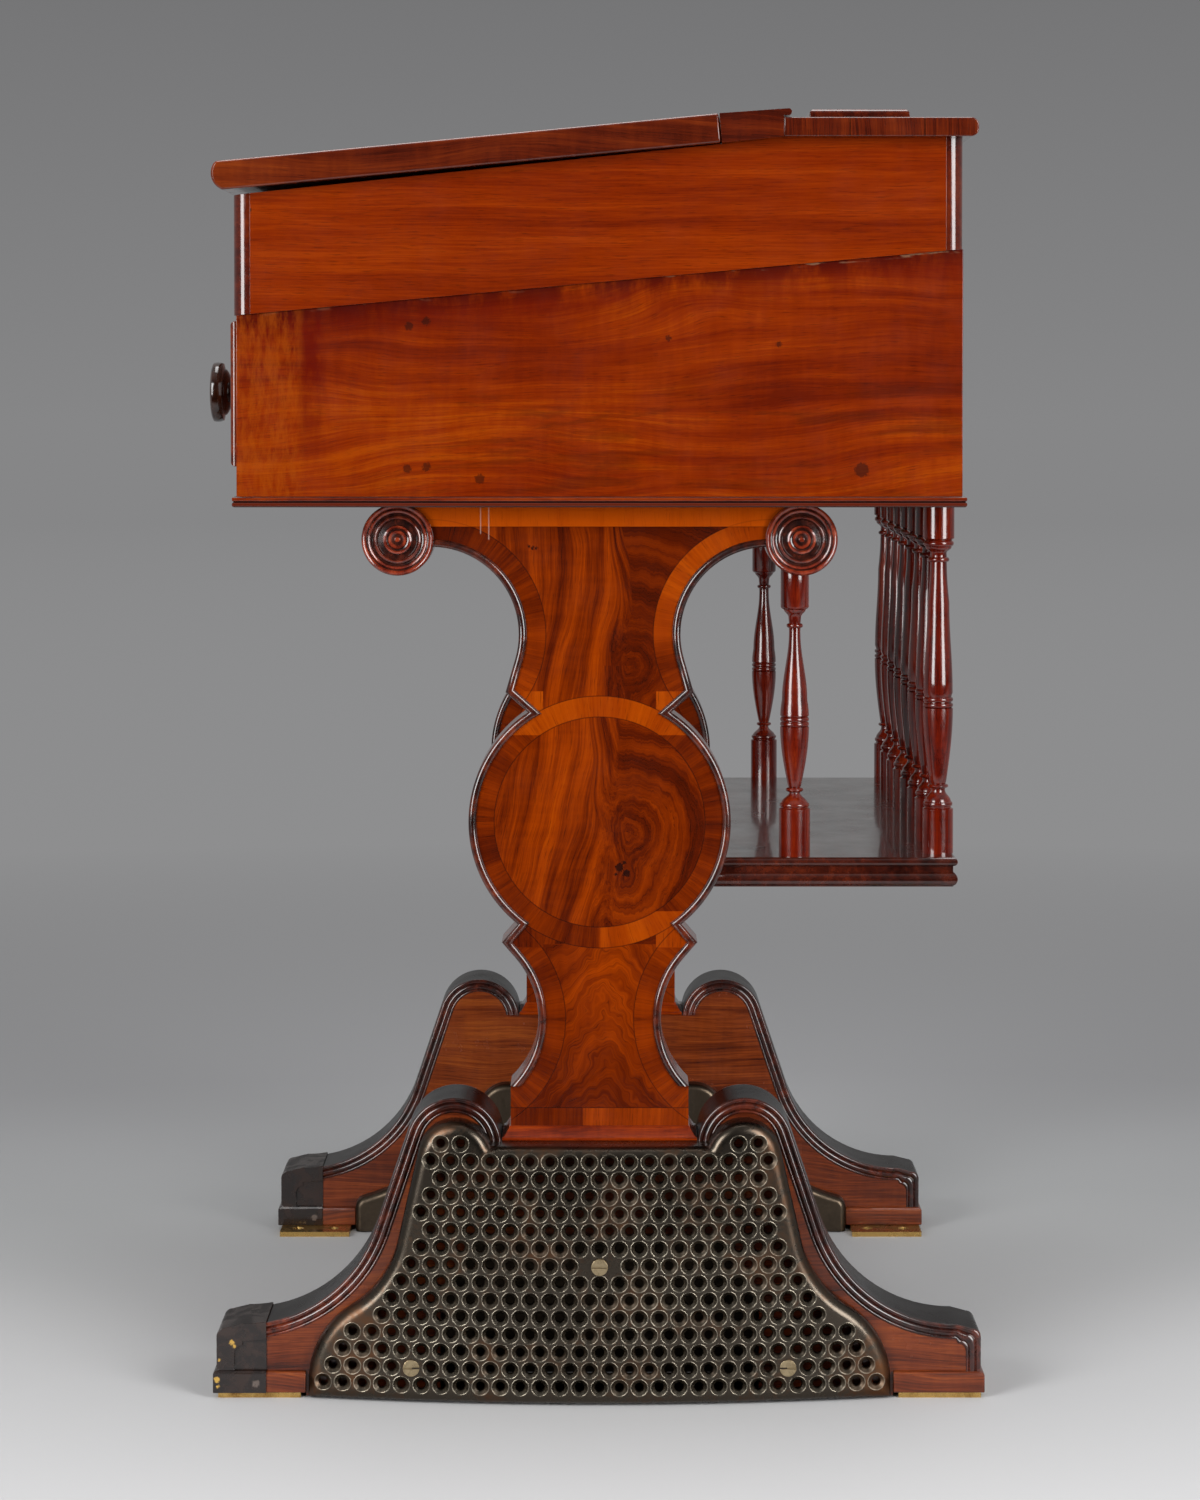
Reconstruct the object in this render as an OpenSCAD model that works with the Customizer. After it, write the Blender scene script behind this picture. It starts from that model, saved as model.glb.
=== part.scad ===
// Trestle desk with a sloped writing box, one drawer, a spindle shelf and grilled feet.
// Millimetres, Z up. X runs across the desk, -Y is the sitter's side.
// The origin is on the floor, midway between the trestles and midway along the feet.

/* [Trestles] */
// Outer wooden face of each foot, from the middle of the desk
foot_face_x = 300; // [292:1:330]
// Thickness of each foot
foot_t = 57; // [52:1:66]
// Outer face of each upright, from the middle of the desk
upright_face_x = 292; // [288:1:296]
// Thickness of each upright
upright_t = 40; // [32:1:44]
// Height of the underside of the lower case
case_floor_z = 627; // [620:1:660]

/* [Foot] */
// Half of the foot's length, without its floor block
foot_half = 268.2; // [262:0.2:290]
// Height of the flat seat between the two humps
seat_z = 181.3; // [179:0.1:184]
// Distance of each hump's centre from the middle of the foot
hump_y = 102.3; // [98:0.1:106]
// Height of each hump's centre
hump_z = 178; // [175:0.5:181]
// Radius of each hump
hump_r = 33.5; // [31:0.1:35]
// Length of the toe past the lowest point of the sweep
toe_l = 17.2; // [15:0.1:20]
// Height of the lowest point of the sweep
sweep_low_z = 51.5; // [46:0.5:56]
// Radius of the hollow sweep, as a share of its distance from the hump
sweep_share = 0.6624; // [0.62:0.002:0.7]
// Drop of the toe from the low point of the sweep to its end
toe_drop = 3; // [1:0.5:5]
// Rounding of the toe's upper corner
toe_r = 6; // [3:0.5:9]
// Width of the double bead along the foot's edge
foot_bead_w = 10.5; // [7:0.5:12]
// Height of the double bead over each face of the foot
foot_bead_h = 2; // [1:0.5:3]

/* [Floor blocks and plates] */
// Length of each floor block under the foot
block_l = 61.7; // [60:0.1:64]
// Height of the top of the floor blocks
block_top_z = 18.5; // [14:0.5:24]
// How far a floor block stands out past the foot all round
block_out = 2.4; // [1:0.2:4]
// Bevel on the top edge of a floor block
block_bevel = 1.8; // [0.8:0.2:2.4]
// Thickness of the brass floor plates
plate_t = 4; // [3:0.5:6]
// Length of a floor plate along the foot
plate_l = 58; // [46:1:60]
// How far a floor plate reaches past the foot's inner face
plate_flange = 29; // [24:1:36]
// Radius of the screw holes in the floor plates
floor_hole_r = 2.6; // [2:0.1:3.5]
// Radius of the countersinks at the top
floor_sink_r = 4.8; // [4:0.1:5.5]
// Distance between the two screw holes of a plate
floor_hole_gap = 30; // [20:1:36]
// Length of the sheet guard on each front toe
guard_l = 34; // [26:1:44]
// Thickness of the sheet guard
guard_t = 1; // [0.6:0.1:1.6]

/* [Grille] */
// Gap between the grille and the floor block at each end
grille_end_gap = 1.9; // [1:0.1:5]
// Stand-off of the grille's middle from the foot
grille_out = 29; // [26:0.5:34]
// Stand-off of the grille at its two ends
grille_end_out = 8.5; // [7.5:0.5:12]
// Thickness of the cast grille
grille_t = 4.5; // [3:0.5:6]
// Distance of each grille hump's centre from the middle
grille_hump_y = 101; // [98:0.5:104]
// Height of each grille hump's centre
grille_hump_z = 171.5; // [168:0.5:173]
// Radius of each grille hump
grille_hump_r = 26.4; // [24:0.2:27]
// Distance of the side hollow's centre past the end of the grille
grille_hollow_out = 8.4; // [7:0.1:11]
// Radius of the side hollow, as a share of its centre's distance from the hump
grille_hollow_share = 0.6536; // [0.64:0.0004:0.67]
// Height of the side hollow's centre over the lower corner, as a share of its radius
grille_hollow_rise = 1.5847; // [1.52:0.0001:1.64]
// Height where the grille's lower corners start to round in
grille_corner_z = 12; // [6:1:18]
// Distance between neighbouring holes in a row
hole_pitch = 13.85; // [13.2:0.05:16]
// Distance between neighbouring rows
row_pitch = 12.15; // [11.6:0.05:14]
// Height of the lowest row
row_low_z = 13.5; // [12:0.5:16]
// Radius of the holes at the back of the casting
hole_r = 3.05; // [2.4:0.05:3.6]
// Radius of the grille screws' heads
grille_screw_head_r = 5.8; // [5:0.1:6.3]
// Radius of the grille screws' shanks
grille_screw_r = 2.6; // [2:0.1:3]

/* [Duct cover] */
// Gap between the inner duct cover and the floor block at each end
cover_end_gap = 0.5; // [0.2:0.1:6]
// Rounding of the cover's lower shoulders
cover_shoulder_r = 9; // [6:0.5:11]
// Height of the top of the cover
cover_top_z = 125; // [118:1:140]
// How far the cover stands out from the foot
cover_out = 15; // [11:0.5:20]
// Wall of the cast cover
cover_wall = 3; // [2:0.5:4]
// Half width of the air duct through the foot
duct_half = 112; // [92:1:116]
// Border of wood under the cover round the duct
duct_border = 10; // [8:1:14]

/* [Upright] */
// Radius of the central disc
disc_r = 92.1; // [86:0.5:98]
// Height of the disc's centre
disc_z = 405; // [400:1:410]
// Upper hollow: distance of its centre from the middle
up_hollow_y = 118; // [116:0.5:122]
// Upper hollow: height of its centre
up_hollow_z = 537; // [533:0.5:541]
// Upper hollow: radius
up_hollow_r = 61.3; // [58:0.1:64]
// Upper ear: distance of its tip from the middle
up_ear_y = 66; // [64:0.5:68]
// Upper ear: height of its tip
up_ear_z = 496.3; // [493:0.1:499]
// Upper ear: slope of its underside
up_ear_deg = 41.6; // [36:0.2:48]
// Lower hollow: distance of its centre from the middle
low_hollow_y = 109; // [106:0.5:112]
// Lower hollow: height of its centre
low_hollow_z = 266; // [262:0.5:268]
// Lower hollow: radius
low_hollow_r = 66; // [62:0.5:67]
// Lower ear: distance of its tip from the middle
low_ear_y = 68.7; // [67:0.1:71]
// Lower ear: height of its tip
low_ear_z = 320.3; // [319:0.1:324]
// Lower ear: slope of its upper side
low_ear_deg = 48.8; // [43:0.2:54]
// Half width of the block at the foot of the upright
pier_half = 62.5; // [58:0.1:64]
// Height of the top of that block
pier_top_z = 219; // [214:1:222]
// Height of the cap moulding on the foot
cap_h = 9.7; // [7:0.1:13]
// Width of the bead along the upright's edge
upright_bead_w = 5.6; // [4:0.1:7]
// Height of that bead over each face of the upright
upright_bead_h = 2.6; // [1.5:0.1:4]
// Radius of the scroll rolls
scroll_r = 25.3; // [23:0.1:27]
// Distance of the scroll rolls' centres from the middle
scroll_y = 141.4; // [138:0.1:146]
// Height of the rolls' centres below the case
scroll_drop = 23.5; // [22:0.1:24.5]
// How far the rolls stand out from the upright
scroll_out = 5; // [3:0.5:8]
// Width of the bearers inside the uprights
bearer_w = 30; // [20:1:40]
// Depth of the bearers
bearer_h = 22; // [16:1:28]

/* [Shelf] */
// Height of the top of the book shelf
shelf_top_z = 378.5; // [370:0.5:390]
// Thickness of the book shelf
shelf_t = 20.8; // [18:0.2:24]
// Half length of the book shelf
shelf_half = 280; // [276:1:290]
// Front edge of the book shelf
shelf_front_y = 70; // [60:0.5:76]
// Rear edge of the book shelf
shelf_rear_y = 252.6; // [252:0.2:262]
// Height of the upper bead on the shelf's edge
shelf_top_bead = 6.3; // [5:0.1:8]
// Height of the hollow between the beads
shelf_hollow_h = 3.8; // [2.5:0.1:5]
// Depth of that hollow
shelf_hollow_d = 3; // [1.5:0.1:4]
// Distance of the end spindles at the rear from the ends of the shelf
spindle_end = 30; // [24:1:44]
// Distance of the rear spindles from the middle of the foot
spindle_y = 241; // [238:0.5:241]
// Largest radius of the rear spindles
spindle_r = 11.2; // [9.5:0.1:11.4]
// Distance of the side spindles from the middle of the desk
side_spindle_x = 266; // [264:1:268]
// Distance of the side spindles from the middle of the foot
side_spindle_y = 138; // [135:0.5:144]
// Largest radius of the side spindles
side_spindle_r = 11; // [9.5:0.1:11.4]

/* [Lower case] */
// Half width of the case
case_half = 320; // [316:1:330]
// Front face of the case
case_front_y = -251.5; // [-256:0.5:-248]
// Rear face of the case
case_rear_y = 251.5; // [250:0.5:260]
// Height of the case's sloped top at its front
case_top_front_z = 759.8; // [757:0.2:766]
// Slope of the case's top
case_slope = 5.19; // [4.6:0.01:5.6]
// Thickness of the case sides
case_side_t = 16; // [13:0.5:18]
// Thickness of the back board
case_back_t = 12; // [9:0.5:15]
// Thickness of the bottom board
case_bottom_t = 12; // [9:0.5:16]
// Thickness of the sloped board that closes the case and floors the writing box
case_top_t = 10; // [7:0.5:10]
// Depth of the front rails from front to back
rail_d = 18; // [14:0.5:24]
// Height of the moulding round the foot of the case
moulding_h = 7.4; // [6:0.1:10]
// How far that moulding stands out
moulding_out = 3; // [2:0.1:5]

/* [Drawer] */
// Height of the bottom of the drawer opening
opening_low_z = 665; // [662:0.5:672]
// Height of the top of the drawer opening
opening_top_z = 746; // [740:0.5:747]
// Running clearance at each side of the drawer
drawer_side_gap = 1.5; // [0.8:0.1:2.5]
// Running clearance over and under the drawer
drawer_gap = 0.5; // [0.4:0.1:1.5]
// How far the drawer front stands out of the case
lip_out = 5.1; // [4:0.1:7]
// How far the lip laps over the case below and above the opening
lip_lap = 10; // [6:0.5:12]
// How far the lip laps over the case sides
lip_side_lap = 6; // [4:0.5:9]
// Thickness of the drawer front behind its lip
drawer_front_t = 16; // [13:0.5:20]
// Length of the drawer behind its lip
drawer_l = 450; // [400:1:480]
// Thickness of the drawer sides and back
drawer_wall = 9; // [7:0.5:12]
// Thickness of the drawer bottom
drawer_bottom_t = 6; // [4:0.5:8]
// Height of the drawer bottom over the drawer's lower edge
drawer_bottom_up = 5; // [3:0.5:8]
// Width of the strips that the drawer runs on
runner_w = 20; // [14:1:28]
// Distance of each knob from the middle
knob_x = 180; // [140:1:230]
// Radius of the knobs
knob_r = 21.8; // [17:0.2:25]
// Length of the knobs in front of the drawer
knob_l = 26.9; // [22:0.1:32]
// Radius of the knobs' dowels
knob_dowel_r = 6; // [4.5:0.5:8]

/* [Writing box] */
// How far the box stands out past the case at its sides
box_side_out = 1.5; // [0.6:0.1:3]
// How far the box stands out past the case at its front
box_front_out = 2; // [1:0.1:3]
// Thickness of the box's boards
box_wall = 12; // [12:0.5:14]
// Rounding of the box's upright corners
box_corner_r = 10; // [6:0.5:11]
// Height of the underside of the rear ledge
ledge_low_z = 882.4; // [880:0.1:884]
// Gap between the closed lid and the box at its front
lid_front_gap = 3.6; // [2:0.1:5]

/* [Lid, rail and ledge] */
// How far the lid, the rail and the ledge reach past the case at each side
top_out = 16; // [11:1:26]
// Hinge line: distance from the middle of the foot
hinge_y = 82; // [70:1:90]
// Hinge line: height
hinge_z = 898.2; // [897:0.1:900]
// Slope of the lid
lid_slope = 5.4; // [4.8:0.05:5.6]
// Length of the lid along its slope
lid_l = 351.5; // [349:0.5:360]
// Thickness of the lid
lid_t = 20; // [18:0.2:20.6]
// Radius of the lid's nose
lid_nose_r = 12.3; // [11.8:0.1:14]
// Width of the cleats at the ends of the lid
cleat_w = 45; // [35:1:60]
// Rise of the hinge rail's top towards its nose
rail_rise = 3.4; // [2:0.1:3.8]
// Depth of the hinge rail from the hinge line to its back
rail_back = 44.8; // [40:0.2:50]
// Overhang of the rail's nose past its back
rail_nose = 5.4; // [4:0.1:7]
// Thickness of the rear ledge
ledge_t = 13.1; // [11:0.1:14]
// Rear edge of the ledge
ledge_rear_y = 260.7; // [256:0.1:268]
// Half width of each lid hinge
hinge_half = 30; // [22:1:40]
// Distance of each lid hinge from the middle
hinge_x = 180; // [120:1:240]
// Width of each hinge leaf
leaf_w = 22; // [18:0.5:26]
// Thickness of the hinge leaves
leaf_t = 2; // [1.5:0.1:2.5]
// Radius of the hinge knuckles
knuckle_r = 3.5; // [3:0.1:4.2]
// Radius of the hinge pins
hinge_pin_r = 1.5; // [1.2:0.1:1.8]

/* [Ink block] */
// Half length of the ink block
ink_half = 117; // [105:1:140]
// Depth of the ink block from front to back
ink_d = 74.6; // [66:0.2:80]
// Height of the ink block
ink_h = 21.2; // [19:0.1:26]
// Distance of the ink block's middle from the middle of the foot
ink_y = 192.9; // [188:0.1:196]
// Rounding of the block's upper edges
ink_round = 4; // [2:0.5:6]
// Distance of each glass pot from the middle
pot_x = 84; // [78:1:88]
// Outer radius of the glass pots
pot_r = 19; // [16:0.5:21]
// Wall of the glass pots
pot_wall = 2; // [1.5:0.1:3]
// Half length of the pen tray
tray_half = 54; // [40:1:54]
// Half depth of the pen tray
tray_d = 24; // [16:1:28]
// Wood left under the pots and the tray
well_floor = 4; // [3:0.5:6]

/* [Hidden] */

// Fits
touch = 0.2;
hinge_gap = 0.4;
pin_play = 0.05;
cut = 1;
hair = 0.02;

// Rounds are smooth enough to read as true curves
$fn = 96;

// Foot levels and faces
foot_low_z = 1;
foot_in_x = foot_face_x - foot_t;
field_x = foot_face_x - foot_bead_h;
inner_field_x = foot_in_x + foot_bead_h;
sweep_y = foot_half - toe_l;
sweep_r = sweep_share * (sweep_y - hump_y);
sweep_z = sweep_low_z + sweep_r;
block_in = foot_half - block_l;
block_end = foot_half + block_out;
hump_c = [hump_y, hump_z];
sweep_c = [sweep_y, sweep_z];

// Grille outline and surface
grille_half = block_in - grille_end_gap;
grille_hollow_y = grille_half + grille_hollow_out;
grille_hollow_r = grille_hollow_share * (grille_hollow_y - grille_hump_y);
grille_hollow_z = grille_corner_z + grille_hollow_rise * grille_hollow_r;
grille_hump_c = [grille_hump_y, grille_hump_z];
grille_hollow_c = [grille_hollow_y, grille_hollow_z];
grille_sag = grille_out - grille_end_out;
grille_surface_r = (grille_half * grille_half + grille_sag * grille_sag) / (2 * grille_sag);
grille_axis_x = field_x + grille_out - grille_surface_r;
// The lower corner's arc touches the side hollow and the upright end of the grille
corner_dz = grille_hollow_z - grille_corner_z;
corner_dy = grille_hollow_out;
corner_r = (corner_dz * corner_dz + corner_dy * corner_dy - grille_hollow_r * grille_hollow_r)
    / (2 * (grille_hollow_r - corner_dy));
corner_c = [grille_half - corner_r, grille_corner_z];
corner_meet = corner_c + corner_r * unit(grille_hollow_c - corner_c);
grille_low_z = 1;
grille_rim = 3;
hollow_lap = 8;
bulge_strips = 24;
hole_rim = 7.4;
hump_rim = 10.3;
screw_row = 1;
screw_end_room = 4.7;
screw_pitches = floor(grille_half / hole_pitch - screw_end_room) - 0.5;
mid_screw_row = 7;
mid_screw_clear = 8;
screw_head_t = 2;
screw_slot_w = 1.1;
screw_slot_d = 1.2;
screw_into_wood = 18;

// Duct cover outline: the shoulder's arc meets the hollow and touches the cover's upright end
cover_half = block_in - cover_end_gap;
cover_flank = 128;
cover_crown_r = 25;
cover_hollow_out = 35;
cover_hollow_z = 180;
cover_hollow_r = 156.5;
cover_hollow_c = [cover_half + cover_hollow_out, cover_hollow_z];
cover_crown_c = [cover_half - cover_flank, cover_top_z - cover_crown_r];
cover_shoulder_y = cover_half - cover_shoulder_r;
cover_reach = cover_hollow_r + cover_shoulder_r - hair;
cover_shoulder_dz = sqrt(pow(cover_reach, 2) - pow(cover_hollow_c.x - cover_shoulder_y, 2));
cover_shoulder_c = [cover_shoulder_y, cover_hollow_c.y - cover_shoulder_dz];
cover_meet = cover_shoulder_c + cover_shoulder_r * unit(cover_hollow_c - cover_shoulder_c);
lug_half = 14;
lug_drop = 11;
lug_low_z = row_low_z + mid_screw_row * row_pitch - lug_drop;

// Upright levels and faces
upright_in_x = upright_face_x - upright_t;
cap_top_z = seat_z + cap_h;
cap_half = hump_y - hump_r - touch;
cap_out = 6.5;
cap_step = 1.6;
cap_bevel = 5;
scroll_z = case_floor_z - scroll_drop;
scroll_relief = 3.6;
scroll_back_out = 2;
ear_cut = 45;
bearer_half = 110;

// Case levels
top_half = case_half + top_out;
case_in = case_half - case_side_t;
case_back_in_y = case_rear_y - case_back_t;
rail_back_y = case_front_y + rail_d;
bottom_top_z = case_floor_z + case_bottom_t;

// Drawer faces
drawer_half = case_in - drawer_side_gap;
drawer_low_z = opening_low_z + drawer_gap;
drawer_top_drop = 5;
drawer_high_z = opening_top_z - drawer_gap - drawer_top_drop;
kicker_h = 8;
knob_rise = 1;
lip_y = case_front_y - lip_out;
drawer_front_back_y = case_front_y + drawer_front_t;
drawer_back_y = case_front_y + drawer_l;
drawer_floor_z = drawer_low_z + drawer_bottom_up;
knob_z = (opening_low_z + opening_top_z) / 2 + knob_rise;

// Box faces
box_half = case_half + box_side_out;
box_front_y = case_front_y - box_front_out;
lid_low_at_hinge = hinge_z - lid_t / cos(lid_slope);
box_front_top_z = lid_low_z(box_front_y) - lid_front_gap;
box_hinge_top_z = lid_low_at_hinge - touch;
rail_back_y2 = hinge_y + rail_back;
ledge_top_z = ledge_low_z + ledge_t;
rail_nose_r = 2.4;

// Hinge leaves
leaf_hole_r = 1.8;
leaf_sink_r = 3.4;
leaf_screw_l = 11;
leaf_slot_w = 0.6;
leaf_screw_y = leaf_w * 0.62;
leaf_screw_step = hinge_half * 0.62;
knuckle_half = hinge_half / 3;
groove_r = knuckle_r + hinge_gap;

// Spindles
spindle_count = 8;
spindle_pitch = 2 * (shelf_half - spindle_end) / (spindle_count - 1);
spindle_l = case_floor_z - shelf_top_z;
side_spindle_l = scroll_z - shelf_top_z;
curve_steps = 7;

// Colours
mahogany = "#7a3013";
dark_mahogany = "#421310";
light_mahogany = "#a0511b";
bronze = "#4f4940";
brass = "#b89150";
sheet_dark = "#2c2622";
pine = "#b48a58";
glass_tint = "#c8d8d0";

// Plane geometry
function unit(v) = v / norm(v);
// The straight line that touches two circles on opposite sides, sunk a hair into the first
function crossing_tangent(c1, r1, c2, r2) =
    let (v = c2 - c1, a = atan2(v.y, v.x) + acos((r1 + r2) / norm(v)))
    [c1 + (r1 - hair) * [cos(a), sin(a)], c2 - r2 * [cos(a), sin(a)]];
// Where a line from p touches a circle, on the side that turn names
function touch_point(c, r, p, turn) =
    let (v = p - c, a = atan2(v.y, v.x) + turn * acos(r / norm(v)))
    c + r * [cos(a), sin(a)];
// Points of one ear, inset by w: inner end of its cut, its tip and the start of the hollow
function ear_points(c, r, tip, deg, dir, w) =
    let (
        n1 = unit(c - touch_point(c, r, tip, -dir)),
        n2 = [sin(deg), -dir * cos(deg)],
        tip_w = tip - w * (n1 + n2) / (1 + n1 * n2),
        inner = tip_w + ear_cut * [-cos(deg), -dir * sin(deg)]
    )
    [inner, tip_w, touch_point(c, r + w, tip_w, -dir)];
// Height of the case's sloped top
function slope_z(y) = case_top_front_z + (y - case_front_y) * tan(case_slope);
// Height of the lid's underside
function lid_low_z(y) = lid_low_at_hinge + (y - hinge_y) * tan(lid_slope);
// Height of the box's top under the lid
function box_top_z(y) = box_front_top_z
    + (y - box_front_y) * (box_hinge_top_z - box_front_top_z) / (hinge_y - box_front_y);
// Stand-off surface of the grille
function grille_x(y) = grille_axis_x + sqrt(grille_surface_r * grille_surface_r - y * y);
// Flat seat for the head of a grille screw at p, cut as deep as its outer side needs
function screw_seat_x(p) = grille_x(abs(p.x) + grille_screw_head_r);

module along_x(x0, x1) {
    translate([x0, 0, 0]) rotate([90, 0, 90]) linear_extrude(x1 - x0) children();
}

module along_y(y0, y1) {
    translate([0, y1, 0]) rotate([90, 0, 0]) linear_extrude(y1 - y0) children();
}

// Turned about the X axis through y, z, from a profile of [radius, x]
module turned_x(y, z) {
    translate([0, y, z]) rotate([0, 90, 0]) rotate_extrude() children();
}

module disc_at(c, r) {
    translate(c) circle(r);
}

module both_ends() {
    children();
    mirror([1, 0]) children();
}

module left() {
    mirror([1, 0, 0]) children();
}

module pair() {
    children();
    mirror([1, 0, 0]) children();
}

// A bar from x = 0, centred on Y and Z
module centred_bar(x, y, z) {
    translate([0, -y / 2, -z / 2]) cube([x, y, z]);
}

// A board with the same edge profile on all four sides
module edged_board(x0, x1, y0, y1) {
    intersection() {
        along_x(x0, x1) translate([y0, 0]) edge_profile(y1 - y0);
        along_y(y0, y1) translate([x0, 0]) edge_profile(x1 - x0);
    }
}

// Floor plates, blocks and guards

module floor_plates() {
    hole_x = foot_in_x - plate_flange / 2;
    mid_y = foot_half - plate_l / 2;
    color(brass) pair() for (end = [-1, 1]) difference() {
        translate([foot_in_x - plate_flange, end > 0 ? foot_half - plate_l : -foot_half, 0])
            cube([foot_face_x - foot_in_x + plate_flange, plate_l, plate_t]);
        for (step = [-0.5, 0.5]) translate([hole_x, end * mid_y + step * floor_hole_gap, 0]) {
            translate([0, 0, -cut]) cylinder(h = plate_t + 2 * cut, r = floor_hole_r);
            translate([0, 0, plate_t - (floor_sink_r - floor_hole_r)])
                cylinder(h = floor_sink_r - floor_hole_r, r1 = floor_hole_r, r2 = floor_sink_r);
        }
    }
}

// One floor block, grown by g, as the guard needs it
module toe_block(g) {
    x0 = foot_in_x - block_out - g;
    x1 = foot_face_x + block_out + g;
    top = block_top_z + g;
    intersection() {
        along_x(x0, x1) polygon([
            [block_in, plate_t], [block_end + g, plate_t], [block_end + g, top - block_bevel],
            [block_end + g - block_bevel, top], [block_in, top]
        ]);
        along_y(block_in, block_end + g) polygon([
            [x0, plate_t], [x1, plate_t], [x1, top - block_bevel], [x1 - block_bevel, top],
            [x0 + block_bevel, top], [x0, top - block_bevel]
        ]);
    }
}

module toe_blocks() {
    color(mahogany) pair() {
        toe_block(0);
        mirror([0, 1, 0]) toe_block(0);
    }
}

module toe_guards() {
    guard_in = foot_half - guard_l;
    color(sheet_dark) pair() mirror([0, 1, 0]) difference() {
        intersection() {
            union() {
                grown_foot(guard_t);
                toe_block(guard_t);
            }
            translate([0, guard_in, plate_t]) cube([2 * foot_face_x, foot_half, seat_z]);
        }
        grown_foot(0);
        toe_block(0);
    }
}

// A foot with its beads, grown by g all round
module grown_foot(g) {
    along_x(inner_field_x - g, field_x + g) foot_outline(-g);
    along_x(foot_in_x - g, foot_face_x + g) difference() {
        foot_outline(-g);
        foot_outline(foot_bead_w + g);
    }
}

// Feet

// Outline of a foot inset by w along its humps, sweeps and toes
module foot_outline(w) {
    line = crossing_tangent(hump_c, hump_r - w, sweep_c, sweep_r + w);
    end_y = foot_half - w;
    toe_z = sweep_low_z - toe_drop - w;
    both_ends() difference() {
        union() {
            polygon([
                [0, foot_low_z], [block_in, foot_low_z], [block_in, block_top_z],
                [end_y, block_top_z], [end_y, toe_z - toe_r], [end_y - toe_r, toe_z - toe_r],
                [end_y - toe_r, toe_z], [sweep_y, sweep_low_z - w], [sweep_y, line[1].y],
                line[1], line[0], hump_c, [hump_y, seat_z], [0, seat_z]
            ]);
            disc_at([end_y - toe_r, toe_z - toe_r], toe_r);
            disc_at(hump_c, hump_r - w);
        }
        disc_at(sweep_c, sweep_r + w);
    }
}

module cover_outline(w) {
    line = crossing_tangent(cover_crown_c, cover_crown_r - w, cover_hollow_c, cover_hollow_r + w);
    half = cover_half - w;
    both_ends() difference() {
        union() {
            polygon([
                [0, foot_low_z], [half, foot_low_z], [half, cover_shoulder_c.y], cover_shoulder_c,
                cover_meet - w * unit(cover_hollow_c - cover_shoulder_c),
                [cover_meet.x + hollow_lap, line[1].y], line[1], line[0],
                [cover_crown_c.x, cover_top_z - w], [0, cover_top_z - w]
            ]);
            if (cover_shoulder_r > w) disc_at(cover_shoulder_c, cover_shoulder_r - w);
            disc_at(cover_crown_c, cover_crown_r - w);
        }
        disc_at(cover_hollow_c, cover_hollow_r + w);
    }
}

// Air duct through the foot, with a lug left for the middle screw of the grille
module duct_outline() {
    intersection() {
        difference() {
            cover_outline(duct_border);
            translate([-lug_half, lug_low_z]) square([2 * lug_half, cover_top_z]);
        }
        translate([-duct_half, 0]) square([2 * duct_half, cover_top_z]);
    }
}

module screw_holes(r, x0, x1) {
    for (p = grille_screws_at()) along_x(x0, x1) disc_at(p, r);
}

function grille_screws_at() = [
    [-screw_pitches * hole_pitch, row_low_z + screw_row * row_pitch],
    [screw_pitches * hole_pitch, row_low_z + screw_row * row_pitch],
    [0, row_low_z + mid_screw_row * row_pitch]
];

module foot() {
    difference() {
        along_x(inner_field_x, field_x) difference() {
            foot_outline(0);
            duct_outline();
            translate([-duct_half, 0]) square([2 * duct_half, 2 * foot_low_z]);
        }
        screw_holes(grille_screw_r, field_x - screw_into_wood, field_x + cut);
    }
}

module foot_right() {
    color(mahogany) foot();
}

module foot_left() {
    color(mahogany) left() foot();
}

module foot_bead() {
    for (x = [foot_in_x, field_x]) along_x(x, x + foot_bead_h) difference() {
        foot_outline(0);
        foot_outline(foot_bead_w);
        grille_outline(-touch);
    }
}

module foot_bead_right() {
    color(dark_mahogany) foot_bead();
}

module foot_bead_left() {
    color(dark_mahogany) left() foot_bead();
}

module duct_cover() {
    face_x = inner_field_x - cover_out;
    difference() {
        along_x(face_x, inner_field_x) cover_outline(0);
        along_x(face_x + cover_wall, inner_field_x + cut) intersection() {
            cover_outline(cover_wall);
            translate([-cover_half + cover_wall, -cut]) square([2 * (cover_half - cover_wall), cover_top_z]);
        }
        translate([face_x + cover_wall, -duct_half, 0]) cube([cover_out, 2 * duct_half, cover_wall + cut]);
    }
}

module duct_cover_right() {
    color(bronze) duct_cover();
}

module duct_cover_left() {
    color(bronze) left() duct_cover();
}

// Grilles

module grille_outline(w) {
    line = crossing_tangent(grille_hump_c, grille_hump_r - w, grille_hollow_c, grille_hollow_r + w);
    half = grille_half - w;
    both_ends() difference() {
        union() {
            polygon([
                [0, grille_low_z + w], [half, grille_low_z + w], [half, grille_corner_z],
                [corner_c.x, grille_corner_z], corner_meet - w * unit(grille_hollow_c - corner_c),
                [corner_meet.x + hollow_lap, line[1].y], line[1], line[0], grille_hump_c,
                [grille_hump_y, seat_z - w], [0, seat_z - w]
            ]);
            intersection() {
                disc_at(corner_c, corner_r - w);
                translate([corner_c.x, grille_corner_z]) square(corner_r);
            }
            disc_at(grille_hump_c, grille_hump_r - w);
        }
        disc_at(grille_hollow_c, grille_hollow_r + w);
    }
}

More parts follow.
